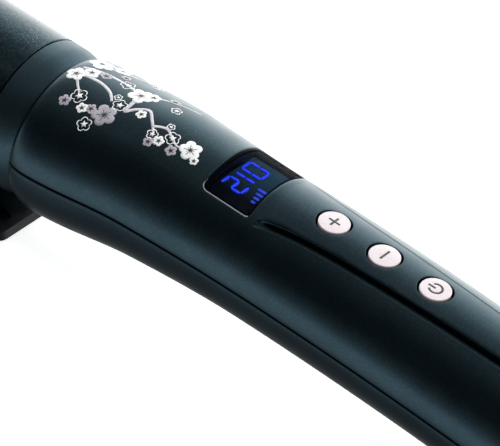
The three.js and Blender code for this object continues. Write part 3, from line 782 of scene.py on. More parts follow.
def upright_girth(x, s, keep, limit):
    """Girth of the inner skin's point straight below s, so that openings within keep stand upright. Beyond
    keep it runs evenly on to the limit."""
    radius = handle_radius(x)
    near = min(abs(s), keep)
    girth = radius * math.asin(radius * math.sin(near / radius) / (radius - SHELL_WALL))
    if abs(s) > keep:
        girth = lerp(girth, limit, (abs(s) - keep) / (limit - keep))
    return math.copysign(girth, s)


def upper_shell():
    stops = [(TAPER_START, 32), (OPENING_FRONT, 22), (CREASE_START, 9)]
    middles = [PANEL_CENTRE + button_offset(i) for i in range(3)]
    for middle in middles:
        stops += [(middle - BUTTON_REACH, 12), (middle + BUTTON_REACH, 2)]
    stops[-1] = (stops[-1][0], 40)
    stops += [(HANDLE_REAR - 1.2, 6), (HANDLE_REAR, 0)]
    stations, index = shell_stations(*stops)
    centre = len(upper_columns(0.2)) // 2
    to_crease, past_crease = 7, 22
    openings = [(index[OPENING_FRONT], index[CREASE_START], centre - past_crease, centre + past_crease,
                 window_outline_with_gap, 6, OPENING_ROUND)]
    for middle in middles:
        first, last = index[middle - BUTTON_REACH], index[middle + BUTTON_REACH]
        hole = round_outline(middle, BUTTON_RADIUS + HOLE_CLEARANCE)
        openings.append((first, last, centre - to_crease, centre + to_crease, hole, 6, HOLE_ROUND))
    places, faces = skin_net(stations, upper_columns, openings)
    outer, inner = [], []
    for x, s, sink in places:
        limit = parting_girth(x)
        edge = edge_sink(limit - abs(s))
        below = upright_girth(x, s, WINDOW_HALF_WIDTH + 0.7, limit)
        outer.append(on_handle(x, s, relief(x, s) + sink + max(edge, end_sink(x))))
        inner.append(on_handle(x, below, SHELL_WALL))
    return walled(outer, inner, faces)


def window_outline_with_gap(u, v, grow):
    return window_outline(u, v, grow + WINDOW_GAP)


def lower_limit(x):
    """Girth from the bottom out to a parting edge of the lower shell."""
    return math.pi * handle_radius(x) - parting_girth(x) - GAP


def lower_columns(x):
    """Girth from the bottom out to both parting edges."""
    limit = lower_limit(x)
    half = spread(0, 6, 8)[1:] + spread(6, limit - EDGE_ROUND, 20)[1:]
    half += [limit - EDGE_ROUND * k for k in (0.6, 0.3, 0.1, 0)]
    return [-s for s in reversed(half)] + [0] + half


def lower_shell():
    front_screw, rear_screw = SCREW_PLACES
    stations, index = shell_stations(
        (TAPER_START, 14), (front_screw - WELL_REACH, 12), (front_screw + WELL_REACH, 56),
        (rear_screw - WELL_REACH, 12), (rear_screw + WELL_REACH, 14), (HANDLE_REAR - 1.2, 6),
        (HANDLE_REAR, 0))
    centre = len(lower_columns(0.2)) // 2
    openings = []
    for x in SCREW_PLACES:
        first, last = index[x - WELL_REACH], index[x + WELL_REACH]
        outline = round_outline(x, WELL_RADIUS)
        openings.append((first, last, centre - 8, centre + 8, outline, 5, OPENING_ROUND))
    places, faces = skin_net(stations, lower_columns, openings)
    outer, inner = [], []
    for x, s, sink in places:
        limit = lower_limit(x)
        half_turn = math.pi * handle_radius(x)
        below = upright_girth(x, s, WELL_RADIUS * 1.5, limit)
        drop = sink + max(edge_sink(limit - abs(s)), end_sink(x))
        outer.append(on_handle(x, half_turn - s, drop))
        inner.append(on_handle(x, half_turn - below, SHELL_WALL))
    return walled(outer, inner, faces)


def screw_well():
    """A cup in the lower shell that a screw sits in, about the screw's own axis, rim first."""
    rim, floor, inner = 2.6, SCREW_SINK + 1.2, WELL_RADIUS + 0.02
    return turned([
        (rim, inner), (SCREW_SINK, inner), (SCREW_SINK, PILOT_RADIUS), (floor, PILOT_RADIUS),
        (floor, POST_RADIUS), (rim, POST_RADIUS),
    ], SMALL_ROUND, closed=True)


def screw():
    """A cross-head screw about X, its head at the bottom of the well."""
    seat = SCREW_SINK - GAP
    profile = [
        (seat - 2, 0), (seat - 2, 1.8), (seat - 1.6, SCREW_HEAD), (seat, SCREW_HEAD), (seat, SCREW_SHANK),
        (19, SCREW_SHANK), (20, 0),
    ]
    slot_depth = SCREW_SINK - 1.2
    slots = [block((2, -y, -z), (slot_depth, y, z)) for y, z in ((2, 0.35), (0.35, 2))]
    return combined(turned(profile, SMALL_ROUND), [("DIFFERENCE", slot) for slot in slots])


def build_handle():
    piece("handle_upper_shell", upper_shell(), LACQUER, "handle", ["upper_shell"])
    piece("handle_lower_shell", lower_shell(), LOWER_RESIN, "handle", ["lower_shell"])
    for name, x in zip(("front", "rear"), SCREW_PLACES):
        bottom = arch_height(x) - handle_radius(x)
        upright = IRON @ Matrix.Translation((x, 0, bottom)) @ Matrix.Rotation(-math.pi / 2, 4, "Y")
        well = piece(name + "_screw_well", screw_well(), LOWER_RESIN, "handle", (), upright)
        soften(well, 0.1)
        made = piece(name + "_cross_screw", screw(), STEEL, "handle", [name + "_screw"], upright)
        soften(made, 0.12)


# ---- Display ----

def window_cover():
    """The glossy cover: a sheet that follows the handle's round form, its rim rounded."""
    count = 28
    places = []
    for u in spread(-1, 1, count):
        for v in spread(-1, 1, count):
            rim = clamp((max(abs(u), abs(v)) - 0.93) / 0.07, 0, 1)
            x, s = window_outline(u, v, 0)
            places.append((x, s, 0.10 + 0.16 * rim ** 3))
    outer = [on_handle(*place) for place in places]
    inner = [on_handle(x, s, WINDOW_THICKNESS + 0.15) for x, s, _ in places]
    return walled(outer, inner, grid_faces(count + 1, count + 1))


def border_loop(sides, sink):
    """Points round the cover at a depth, in from its edge by (front, near, rear, far) distances."""
    front, near, rear, far = sides
    corners = ((-1, 1), (1, 1), (1, -1), (-1, -1))
    points = []
    for (u0, v0), (u1, v1) in zip(corners, corners[1:] + corners[:1]):
        for share in spread(0, 1, 20)[:-1]:
            u, v = lerp(u0, u1, share), lerp(v0, v1, share)
            x, girth = window_outline(u, v, 0)
            x += front * clamp(-u, 0, 1) - rear * clamp(u, 0, 1)
            girth += far * clamp(-v, 0, 1) - near * clamp(v, 0, 1)
            points.append(on_handle(x, girth, sink))
    return points


def cover_shade_band():
    """A black band round the cover, painted shade of the window's recess: wide in front and on the far side.
    """
    edge, wide = (0.05, 0.05, 0.05, 0.05), (1.0, 0.25, 0.3, 1.15)
    low, high = BORDER_DEPTH, BORDER_DEPTH - BORDER_LIFT
    corners = ((edge, low), (edge, high), (wide, high), (wide, low))
    loops = [border_loop(sides, sink) for sides, sink in corners]
    return [point for loop in loops for point in loop], ring_faces(4, len(loops[0]), closed=True)


def highlight_bead_place(share):
    """A place on the bright bead along the window's front and near side, which rises from its far end: a
    painted highlight of the opening's edge.
    """
    u, v = (-1, lerp(0.76, 1, share / 0.28)) if share < 0.28 else (lerp(-1, 1, (share - 0.28) / 0.72), 1)
    x, girth = window_outline(u, v, 0.2)
    return x, girth, lerp(0.3, 0.02, smoothstep(share, 0, 0.3))


def segment(start, end, half, low, high):
    """A flat six-sided stroke between two (x, y) points on the display, from low to high over its glass."""
    along = (Vector(end) - Vector(start)).normalized()
    side = Vector((-along.y, along.x)) * half
    tip = along * half
    a, b = Vector(start) + tip * 1.35, Vector(end) - tip * 1.35
    outline = [a - tip, a + side, b + side, b + tip, b - side, a - side]
    points = [(p.x, p.y, LCD_TOP + z) for z in (low, high) for p in outline]
    faces = [tuple(reversed(range(6))), tuple(range(6, 12))]
    faces += [(k, (k + 1) % 6, (k + 1) % 6 + 6, k + 6) for k in range(6)]
    return points, faces


DIGIT_STROKES = {
    "2": ("l0 r0", "r0 r1", "l1 r1", "l1 l2", "l2 r2"),
    "1": ("m0 m1", "m1 m2"),
    "0": ("l0 r0", "r0 r1", "r1 r2", "l0 l1", "l1 l2", "l2 r2"),
}


def digit_strokes(character, middle):
    """A digit's strokes as pairs of (x, y) points. l, m and r are its sides, and 0 to 2 its rows."""
    sides = {"l": middle - DIGIT_HALF_WIDTH, "m": middle, "r": middle + DIGIT_HALF_WIDTH}
    spots = {}
    for side, y in sides.items():
        for row in range(3):
            spots[side + str(row)] = (DIGIT_FRONT + row * DIGIT_HEIGHT / 2, y)
    return [[spots[name] for name in stroke.split()] for stroke in DIGIT_STROKES[character]]


def build_display():
    piece("display_cover", window_cover(), WINDOW_GLOSS, "handle", ["display_window"])
    # the black band round the cover is painted shade of the window's recess
    piece("display_shade_band", cover_shade_band(), SHADE_BAND_BLACK, "handle", ())
    reach = (WINDOW_REAR - WINDOW_FRONT) / 2
    glass = block((-reach, -LCD_HALF_WIDTH, LCD_TOP - 1), (reach, LCD_HALF_WIDTH, LCD_TOP))
    soften(piece("lcd_glass", glass, LCD, "handle", ["display_panel"], DISPLAY), 0.08)
    strokes = []
    for character, middle in zip("210", DIGIT_MIDDLES):
        strokes += digit_strokes(character, middle)
    digits = merged(*[segment(a, b, DIGIT_STROKE, 0.05, 0.12) for a, b in strokes])
    piece("lit_digits", digits, DIGIT_GLOW, "handle", (), DISPLAY)
    bars = []
    for k, length in enumerate(BAR_LENGTHS):
        y = BAR_NEAR + BAR_PITCH * k
        bars.append(((BAR_REAR - length, y), (BAR_REAR, y)))
    lit = merged(*[segment(a, b, BAR_STROKE, 0.05, 0.12) for a, b in bars])
    piece("lit_bars", lit, BAR_GLOW, "handle", (), DISPLAY)
    # wider dim strokes under the digits and bars: painted glow spilling round them
    halo = merged(*[segment(a, b, HALO_STROKE, 0.01, 0.03) for a, b in strokes + bars])
    # a bright bead along the window's front and near edge: painted highlight
    highlight_path = []
    for share in spread(0, 1, 48):
        x, girth, lift = highlight_bead_place(share)
        highlight_path.append(on_handle(x, girth, lift))
    piece("display_highlight_bead", wire(highlight_path, HIGHLIGHT_BEAD_RADIUS, 8), HIGHLIGHT_SILVER, "handle", ())
    piece("digit_halo", halo, HALO_GLOW, "handle", (), DISPLAY)


# ---- Buttons ----

def cap_top(radius):
    """Height of a cap's crown over the panel."""
    return CAP_RIM_HEIGHT + CAP_CROWN * (1 - (radius / BUTTON_RADIUS) ** 2)


def button_cap():
    """A crowned cap with a rounded rim and a stem, about Z."""
    flat_radius = BUTTON_RADIUS - 0.24
    crown = [(cap_top(r), r) for r in spread(0, flat_radius, 8)]
    rim = arc((cap_top(flat_radius) - CAP_EDGE, BUTTON_RADIUS - CAP_EDGE), CAP_EDGE, 0.1, math.pi / 2, 5)
    foot = -BOARD_DEPTH + 2.8
    stem = [(-BUTTON_DEPTH, BUTTON_RADIUS), (-BUTTON_DEPTH, 1), (foot, 1), (foot, 0)]
    points, faces = turned(crown + rim + stem, 72)
    return [(-z, y, x) for x, y, z in points], faces


def stroke_on_cap(path, half):
    """A thin raised line on a cap's crown along (x, y) points."""
    top, low = [], []
    for k, point in enumerate(path):
        before, after = path[max(0, k - 1)], path[min(len(path) - 1, k + 1)]
        along = (Vector(after) - Vector(before)).normalized()
        side = Vector((-along.y, along.x)) * half
        for offset in (-1, 0, 1):
            spot = Vector(point) + side * offset
            height = cap_top(spot.length)
            top.append((spot.x, spot.y, height + 0.035))
            low.append((spot.x, spot.y, height - 0.1))
    return walled(top, low, grid_faces(len(path), 3))


def straight(start, end, count=8):
    return [(lerp(start[0], end[0], k), lerp(start[1], end[1], k)) for k in spread(0, 1, count)]


def icon(name):
    half, reach = ICON_STROKE, 1.3
    if name == "minus":
        return stroke_on_cap(straight((0, -reach - 0.2), (0, reach + 0.2)), half)
    across = stroke_on_cap(straight((0, -reach), (0, reach)), half)
    if name == "plus":
        return merged(across, stroke_on_cap(straight((-reach, 0), (reach, 0)), half))
    ring = arc((0, 0), reach, math.radians(180 + 38), math.radians(540 - 38), 32)
    return merged(stroke_on_cap(ring, half), stroke_on_cap(straight((-1.75, 0), (-0.05, 0)), half))


def build_buttons():
    for index, name in enumerate(BUTTONS):
        place = PANEL @ Matrix.Translation((button_offset(index), 0, 0))
        piece(name + "_cap", button_cap(), CAP_PINK, name + "_cap", [name + "_button"], place)
        piece(name + "_icon", icon(name), ICON_INK, name + "_cap", (), place)


# ---- Printed blossoms ----

def film(places, faces, rise):
    """A printed film that stands rise above the handle's skin."""
    top = [on_handle(x, s, relief(x, s) - rise) for x, s in places]
    low = [on_handle(x, s, relief(x, s) + 0.08) for x, s in places]
    return walled(top, low, faces)


def petal_edge(angle, radius, turn):
    """Outline of a five-petalled flower, round petals with a shallow notch between them."""
    lobe = abs(math.cos(2.5 * (angle - turn)))
    return radius * (0.66 + 0.34 * lobe ** 0.62)


def flower_film(x, s, radius, turn, inner, outer, rise, count=60, steps=4):
    """The part of a flower between two shares of its outline."""
    places = []
    for share in spread(inner, outer, steps):
        for k in range(count):
            angle = 2 * math.pi * k / count
            reach = petal_edge(angle, radius, turn) * share
            places.append((x + reach * math.cos(angle), s + reach * math.sin(angle)))
    return film(places, ring_faces(steps + 1, count), rise)


def star_film(x, s, radius, turn, rise):
    """A five-pointed star for a flower's heart."""
    places = [(x, s)]
    for k in range(10):
        angle = turn + math.pi * k / 5
        reach = radius * (1 if k % 2 == 0 else 0.42)
        places.append((x + reach * math.cos(angle), s + reach * math.sin(angle)))
    faces = [(0, k + 1, (k + 1) % 10 + 1) for k in range(10)]
    return film(places, faces, rise)


def line_film(points, widths, rise, steps=6):
    """A line along (x, s) points, smooth between them, with its half width at both ends in widths."""
    path = []
    ends = [points[0]] + list(points) + [points[-1]]
    for a, b, c, d in zip(ends, ends[1:], ends[2:], ends[3:]):
        for k in range(steps):
            path.append(between(a, b, c, d, k / steps))
    path.append(points[-1])
    places = []
    for k, point in enumerate(path):
        before, after = path[max(0, k - 1)], path[min(len(path) - 1, k + 1)]
        length = math.hypot(after[0] - before[0], after[1] - before[1]) or 1
        half = lerp(*widths, k / (len(path) - 1))
        side = (-(after[1] - before[1]) / length * half, (after[0] - before[0]) / length * half)
        places += [(point[0] + side[0] * k, point[1] + side[1] * k) for k in (-1, 0, 1)]
    return film(places, grid_faces(len(path), 3), rise)


def between(a, b, c, d, t):
    """A Catmull-Rom curve's point between b and c."""
    return tuple(
        0.5 * (2 * q + (r - p) * t + (2 * p - 5 * q + 4 * r - w) * t * t + (3 * q - p - 3 * r + w) * t ** 3)
        for p, q, r, w in zip(a, b, c, d)
    )


def stamens(x, s, radius, turn):
    """Ten fine lines from a flower's heart, every second one shorter."""
    lines = []
    for k in range(10):
        angle = turn + math.pi * k / 5
        reach = radius * (0.58 if k % 2 == 0 else 0.36)
        end = (x + reach * math.cos(angle), s + reach * math.sin(angle))
        lines.append(line_film([(x, s), end], (0.10, 0.05), 0.065, 2))
    return merged(*lines)


# Each flower is (x, girth, radius, turn in degrees)
WHITE_FLOWERS = (
    (3.9, -5.4, 2.7, 10), (2.9, 1.5, 2.1, 40), (7.8, -7.4, 2.0, 25), (16.8, -1.3, 2.6, 0),
    (33.9, 4.4, 2.35, 20), (9.7, 7.9, 1.2, 15), (27.6, 6.4, 1.2, 50), (20.6, 3.2, 1.15, 5),
    (36.0, 5.9, 0.95, 30), (13.3, -10.4, 1.6, 5), (5.0, -0.7, 1.7, 20), (18.9, -2.7, 1.6, 35),
)
LILAC_FLOWERS = (
    (14.6, 7.1, 2.6, 12), (5.6, 8.2, 1.3, 30), (11.4, 7.2, 1.2, 60), (30.9, 6.7, 1.25, 10),
    (26.0, 7.7, 1.1, 40), (7.6, -2.0, 1.3, 10), (22.4, -5.3, 1.2, 30), (10.4, -4.9, 1.1, 0),
)
OUTLINE_FLOWERS = (
    (7.4, 5.9, 1.75, 0), (12.4, 10.6, 1.6, 25), (15.6, 3.6, 1.6, 40), (12.6, -2.6, 1.6, 10),
    (29.4, 4.3, 1.6, 15), (25.6, 5.9, 1.25, 45), (13.9, 2.0, 0.9, 20), (16.2, -8.2, 1.3, 5),
    (24.8, -2.4, 1.2, 35), (27.3, 2.3, 0.9, 0),
)
# Each twig is its (x, girth) points and its half width at both ends
TWIGS = (
    (((2.5, -1.0), (7.0, -2.6), (12.5, -2.6), (17.0, -1.6), (22.0, -4.6), (28.0, -6.6)), (0.42, 0.16)),
    (((4.0, 1.0), (8.0, 0.6), (11.5, 1.7), (13.6, 3.6)), (0.42, 0.26)),
    (((3.5, 2.0), (5.2, 3.8), (7.0, 5.4)), (0.34, 0.2)),
    (((3.0, -4.0), (8.0, -6.4), (13.0, -8.4), (19.0, -9.6)), (0.4, 0.16)),
    (((17.0, -0.6), (17.2, 2.2), (17.4, 4.3), (19.0, 2.6), (21.2, 1.4), (23.3, 3.2), (25.6, 5.6)),
     (0.46, 0.26)),
    (((24.4, 4.3), (27.0, 3.2), (29.4, 4.4), (31.2, 5.2), (33.0, 4.8)), (0.32, 0.16)),
)


def build_print():
    white, lilac, outlines, dark = [], [], [], []
    for flowers, films, rise in ((WHITE_FLOWERS, white, 0.05), (LILAC_FLOWERS, lilac, 0.035)):
        for x, s, radius, degrees in flowers:
            turn = math.radians(degrees)
            films.append(flower_film(x, s, radius, turn, 0.06, 1, rise))
            dark.append(stamens(x, s, radius, turn))
    for x, s, radius, degrees in OUTLINE_FLOWERS:
        turn = math.radians(degrees)
        outlines.append(flower_film(x, s, radius, turn, 1 - 0.2 / radius, 1, 0.042, steps=1))
        outlines.append(star_film(x, s, radius * 0.52, turn, 0.042))
    twigs = [line_film(points, widths, 0.02) for points, widths in TWIGS]
    for name, shapes, ink in (
        ("print_white_blossoms", white, PRINT_WHITE), ("print_lilac_blossoms", lilac, PRINT_LILAC),
        ("print_outline_blossoms", outlines, PRINT_WHITE), ("print_twigs", twigs, PRINT_TWIG),
        ("print_stamens", dark, PRINT_DARK),
    ):
        piece(name, merged(*shapes), ink, "handle", ())


# ---- Barrel, ring and tip ----

def barrel():
    inner = BARREL_RADIUS - BARREL_WALL
    neck_inner = NECK_RADIUS - BARREL_WALL
    return turned([
        (BARREL_FRONT, inner), (BARREL_FRONT, BARREL_RADIUS), (BARREL_REAR, BARREL_RADIUS),
        (BARREL_REAR, NECK_RADIUS), (NECK_REAR, NECK_RADIUS), (NECK_REAR, neck_inner),
        (BARREL_REAR - BARREL_WALL, neck_inner), (BARREL_REAR - BARREL_WALL, inner),
    ], closed=True)


def collar_ring():
    """A satin ring whose rear half curves in to a groove before the handle."""
    bore = NECK_RADIUS + GAP
    crown = RING_FRONT + 2.6
    profile = [(RING_FRONT, bore), (RING_FRONT, BARREL_RADIUS)]
    for x in spread(crown, RING_REAR, 14):
        profile.append((x, BARREL_RADIUS - 1.3 * ((x - crown) / (RING_REAR - crown)) ** 2))
    return turned([*profile, (RING_REAR, bore)], closed=True)


def cool_tip():
    """A moulded tip: a domed nose, a flat end and three shallow finger grooves."""
    spigot = BARREL_RADIUS - BARREL_WALL - GAP
    centre = TIP_FRONT + TIP_NOSE + SKIN_INSET
    crown = BARREL_RADIUS - SKIN_INSET
    profile = [(TIP_FRONT + SKIN_INSET, 0), (TIP_FRONT + SKIN_INSET, 8.6)]
    for turn in spread(0, math.pi / 2, 16):
        radius = TIP_FLAT + (crown - TIP_FLAT) * math.sin(turn)
        profile.append((centre - TIP_NOSE * math.cos(turn), radius))
    for middle in TIP_GROOVES:
        for offset in spread(-0.5, 0.5, 6):
            depth = TIP_GROOVE_DEPTH * math.cos(math.pi * offset) ** 2
            profile.append((middle + offset, crown - depth))
    shoulder, inner_end = BARREL_FRONT - GAP, TIP_FRONT + TIP_END_WALL
    spigot_end, bore = BARREL_FRONT + SPIGOT_LENGTH, spigot - TIP_WALL
    profile += [
        (shoulder, crown), (shoulder, spigot), (spigot_end, spigot), (spigot_end, bore),
        (TIP_FRONT + 9, bore), (inner_end, 9), (inner_end, 0),
    ]
    return turned(profile)


def seam_shade_ring(front, rear, radius):
    """A dark ring inside a seam: painted shade that keeps the gap black."""
    bore = NECK_RADIUS + GAP
    return turned([(front, bore), (front, radius), (rear, radius), (rear, bore)], closed=True)


def build_barrel():
    soften(piece("barrel", barrel(), PEARL, "handle", ["barrel_tube"]), 0.3)
    soften(piece("satin_ring", collar_ring(), SLATE, "handle", ["collar_ring"]), 0.22)
    soften(piece("barrel_tip", cool_tip(), BLACK_RESIN, "handle", ["cool_tip"]), 0.25)
    slack = 0.02
    # dark rings in the seams before and behind the satin ring: painted shade
    front_shade_ring = seam_shade_ring(BARREL_REAR + slack, RING_FRONT - slack, BARREL_RADIUS - 0.6)
    rear_shade_ring = seam_shade_ring(RING_REAR + slack, HANDLE_FRONT - slack, BARREL_RADIUS - 1.8)
    piece("seam_painted_shade_rings", merged(front_shade_ring, rear_shade_ring), SOFT_BLACK, "handle", ())


# ---- Clip, lever and hinge ----

def clip_flare(x):
    """How far the clip's tip turns away from the barrel."""
    return -CLIP_FLARE * smoothstep(-x, -CLIP_FRONT - CLIP_FLARE_LENGTH, -CLIP_FRONT) ** 2


def clip_half_angle(x):
    """The spoon's half angle at x: round at the tip, drawn in at its rear corners."""
    tip = math.sqrt(max(0, 1 - max(0, 1 - (x - CLIP_FRONT) / CLIP_TIP_LENGTH) ** 2))
    rear = 1 - 0.42 * smoothstep(x, CLIP_REAR - CLIP_REAR_CORNER, CLIP_REAR) ** 1.5
    return max(0.02, CLIP_HALF_ANGLE * tip * rear)


def clip_spoon():
    """The sprung sheet that presses hair onto the barrel."""
    narrowing = CLIP_REAR - CLIP_REAR_CORNER
    stations = [CLIP_FRONT + CLIP_TIP_LENGTH * share ** 2 for share in spread(0, 1, 18)][:-1]
    stations += spread(CLIP_FRONT + CLIP_TIP_LENGTH, narrowing, 30)[:-1] + spread(narrowing, CLIP_REAR, 14)
    columns = 40
    outer, inner = [], []
    for x in stations:
        for share in spread(-1, 1, columns):
            angle = math.pi + clip_half_angle(x) * share
            for skin, radius in ((outer, CLIP_RADIUS + CLIP_SHEET), (inner, CLIP_RADIUS)):
                skin.append((x, -radius * math.sin(angle), radius * math.cos(angle) + clip_flare(x)))
    return walled(outer, inner, grid_faces(len(stations), columns + 1))


def pivot_ear(radius, top, middle):
    outline = [(PIVOT_X + radius, top), (PIVOT_X - radius, top)]
    outline += arc((PIVOT_X, PIVOT_Z), radius, math.pi, 2 * math.pi, 20)
    return prism(outline, 0.6, middle)


def pivot_bore():
    return rod(PIN_RADIUS + GAP, -12, 12, "y", at=(PIVOT_X, 0, PIVOT_Z))


def clip_arm():
    """The spoon's arm, bent down to the lever, with a slot for the spring and two ears on the pivot."""
    outline = [
        (-34, -16.9), (-34, -17.8), (-15.3, -18.5), (-12.5, -20), ARM_END, (-4.5, -22.44), (-4.2, -21.6),
        (-10.8, -19.6), (-12, -19.1), (-15, -17.7),
    ]
    steps = [("DIFFERENCE", block((-17.6, -4.6, -24), (-11.4, 4.6, -15)))]
    steps += [("UNION", pivot_ear(2.1, -18.3, side * 5.6)) for side in (-1, 1)]
    steps.append(("DIFFERENCE", pivot_bore()))
    return combined(prism(outline, ARM_HALF_WIDTH), steps)


def hinge_bracket():
    """A saddle round the barrel's base with two ears that carry the pivot."""
    outer, inner = [], []
    rows = (BRACKET_FRONT, BRACKET_REAR)
    columns = 28
    for x in rows:
        for share in spread(-1, 1, columns):
            angle = math.pi + BRACKET_HALF_ANGLE * share
            for skin, radius in ((outer, BRACKET_OUTER), (inner, BARREL_RADIUS + GAP)):
                skin.append((x, -radius * math.sin(angle), radius * math.cos(angle)))
    saddle = walled(outer, inner, grid_faces(2, columns + 1))
    steps = [("UNION", pivot_ear(2.3, -15.6, side * 7.5)) for side in (-1, 1)]
    steps.append(("DIFFERENCE", rod(BARREL_RADIUS + GAP, -30, 0, "x", FINE_ROUND)))
    steps.append(("DIFFERENCE", pivot_bore()))
    return combined(saddle, steps)


def thumb_lever():
    """The lever that the thumb presses: a wedge with round corners in plan and grooves in its foot."""
    slope = math.tan(REST_TILT)
    foot_rear = (FOOT_REAR[0], FOOT_REAR[1] + SKIN_INSET)
    foot_front = (foot_rear[0] - FOOT_LENGTH, foot_rear[1] - FOOT_LENGTH * slope)
    outline = [(-10.8, -20.8), (-11.7, -22.6), (-14, -23.3), (-13, -24.7), foot_front]
    for k in range(4):
        start = foot_front[0] + 1.1 + 1.35 * k
        for offset, depth in ((0, 0), (0.15, 0.3), (0.45, 0.3), (0.6, 0)):
            x = start + offset
            outline.append((x, foot_front[1] + (x - foot_front[0]) * slope + depth))
    outline += [foot_rear, (-3, -23.2)]
    middle = -7.8
    half = [LEVER_HALF_WIDTH - k for k in (0, 0.3, 0.8, 1.4, 2, 3)]
    rows = [-y for y in half] + half[::-1]
    points = []
    for y in rows:
        into_corner = max(0, abs(y) - LEVER_HALF_WIDTH + LEVER_CORNER) / LEVER_CORNER
        inset = LEVER_CORNER * (1 - math.sqrt(max(0, 1 - into_corner ** 2)))
        for x, z in outline:
            points.append((middle + (x - middle) * (1 - inset / 7), y, z))
    count = len(outline)
    faces = [tuple(range(count)), tuple(reversed(range(len(points) - count, len(points))))]
    return points, faces + ring_faces(len(rows), count)


def spring():
    """A wound torsion spring round the pin, its legs on the bracket and under the clip's arm."""
    centre = [(-4.2, -3.9, 0.9), (-3.0, -3.9, 1.4), (-1.8, -3.8, 1.85)]
    for k in range(SPRING_TURNS * 16 + 1):
        angle = math.pi / 2 - 2 * math.pi * k / 16
        across = -SPRING_LENGTH / 2 + SPRING_LENGTH * k / (SPRING_TURNS * 16)
        centre.append((SPRING_RADIUS * math.cos(angle), across, SPRING_RADIUS * math.sin(angle)))
    centre += [(-1.8, 3.8, 1.85), (-3.0, 3.9, 1.4), (-4.2, 3.9, 0.9)]
    return wire(centre, SPRING_WIRE, 10)


def wire(centre, radius, sides):
    """A closed round wire along a list of points."""
    points = []
    side = Vector((0, 1, 0))
    for k, spot in enumerate(centre):
        before, after = centre[max(k - 1, 0)], centre[min(k + 1, len(centre) - 1)]
        along = (Vector(after) - Vector(before)).normalized()
        side = (side - along * side.dot(along)).normalized()
        other = along.cross(side)
        for n in range(sides):
            angle = 2 * math.pi * n / sides
            points.append(tuple(Vector(spot) + (side * math.cos(angle) + other * math.sin(angle)) * radius))
    faces = ring_faces(len(centre), sides)
    faces.append(tuple(reversed(range(sides))))
    faces.append(tuple(range(len(points) - sides, len(points))))
    return points, faces


def pin(profile):
    return turned(profile, SMALL_ROUND)


def build_clip():
    soften(piece("clip_spoon", clip_spoon(), PEARL, "clip", ["clip_plate"]), 0.22)
    soften(piece("clip_arm", clip_arm(), PEARL, "clip", ()), 0.15)
    soften(piece("thumb_rest", thumb_lever(), BLACK_RESIN, "clip", ["thumb_lever"]), 0.35, 3)
    soften(piece("pivot_bracket", hinge_bracket(), STEEL, "handle", ["hinge_bracket"]), 0.12)
    head = [(9.2, 0), (9.2, 1.5), (9.0, 1.7), (8.5, 1.7), (8.5, PIN_RADIUS)]
    ends = [(-x, radius) for x, radius in head] + head[::-1]
    sideways = PIVOT @ Matrix.Rotation(math.pi / 2, 4, "Z")
    soften(piece("hinge_pin", pin(ends), STEEL, "handle", ["pivot_pin"], sideways), 0.1)
    piece("hinge_spring", spring(), SPRING_STEEL, "handle", ["torsion_spring"], PIVOT)
    for name, x in zip(("front", "rear"), RIVET_PLACES):
        height = ARM_END[1] - (x - ARM_END[0]) * math.tan(ARM_TILT)
        upright = tilted(x, height, ARM_TILT) @ Matrix.Rotation(-math.pi / 2, 4, "Y")
        dome = [(1.25, 1.3), (1.45, 1.25), (1.62, 0.9), (1.7, 0)]
        shape = pin([(-2.2, 0), (-2.2, 0.8), (1.25, 0.8), *dome])
        piece(name + "_rivet_head", shape, STEEL, "clip", [name + "_rivet"], upright)


# ---- End cap and swivel gland ----

def end_cap():
    """The handle's rounded end, with a spigot inside the shells and a bore for the gland."""
    spigot, rim = GRIP_RADIUS - SHELL_WALL - GAP, GRIP_RADIUS - 0.2
    crown = [(CAP_LENGTH * t, rim - 4.2 * t ** 3.2) for t in spread(0.1, 1, 14)]
    return turned([
        (-7, CAP_BORE), (-7, spigot), (GAP, spigot), (GAP, rim), *crown, (CAP_LENGTH, CAP_BORE),
    ], closed=True)


def swivel_gland():
    """A collar and a tapered sleeve with five ribs, open along its axis for the cord."""
    tail = CAP_LENGTH + GAP
    end = tail + GLAND_LENGTH
    outline = [(-18, CORD_BORE), (-18, 4.4), (-9.3, 4.4), (-9.3, 8), (-7.3, 8), (-7.3, 5.9), (tail, 5.9)]
    outline += [(tail, 8.2), (tail + 0.4, 8.6), (tail + 3, 8.3), (tail + 4.2, 7.4)]
    for k in range(GLAND_RIBS):
        for share, depth in ((0, 0.75), (0.14, 0.1), (0.3, 0), (0.6, 0), (0.76, 0.1), (0.9, 0.75)):
            back = RIB_PITCH * (k + share)
            radius = lerp(7.0, 5.4, back / (GLAND_LENGTH - RIBS_START))
            outline.append((tail + RIBS_START + back, radius - depth))
    outline += [(end - 0.6, 5.2), (end, 4.9), (end, CORD_BORE)]
    return turned(outline, 96, closed=True)


def build_swivel():
    cap = piece("handle_end_cap", end_cap(), LOWER_RESIN, "handle", ["end_cap"], SWIVEL)
    soften(cap, 0.3)
    shape = swivel_gland()
    gland = piece("ribbed_gland", shape, SOFT_BLACK, "swivel", ["swivel_gland"], SWIVEL)
    soften(gland, 0.12, angle=40)


# ---- What the shells hide ----

CARRIED = {
    CERAMIC: ("heater_plate", "barrel_carrier"),
    ALUMINIUM: ("heat_spreader_upper", "heat_spreader_lower", "thermal_fuse"),
    SENSOR_GLASS: ("temperature_sensor",),
    CLEAR_RESIN: ("backlight_guide",),
    SWITCH_RESIN: ("plus_switch", "minus_switch", "power_switch", "triac"),
    BOARD_GREEN: ("control_board", "power_board"),
    CAPACITOR_FILM: ("filter_capacitor",),
    CAPACITOR_CAN: ("smoothing_capacitor",),
    BRASS: ("live_contact_ring", "neutral_contact_ring", "live_contact_brush", "neutral_contact_brush"),
    LEAD_SLEEVE: ("live_heater_lead", "neutral_heater_lead"),
}


def dress_carried():
    for material, names in CARRIED.items():
        for name in names:
            node = frame["nodes"][name]
            node.data.materials.clear()
            node.data.materials.append(material)


# ---- Studio ----

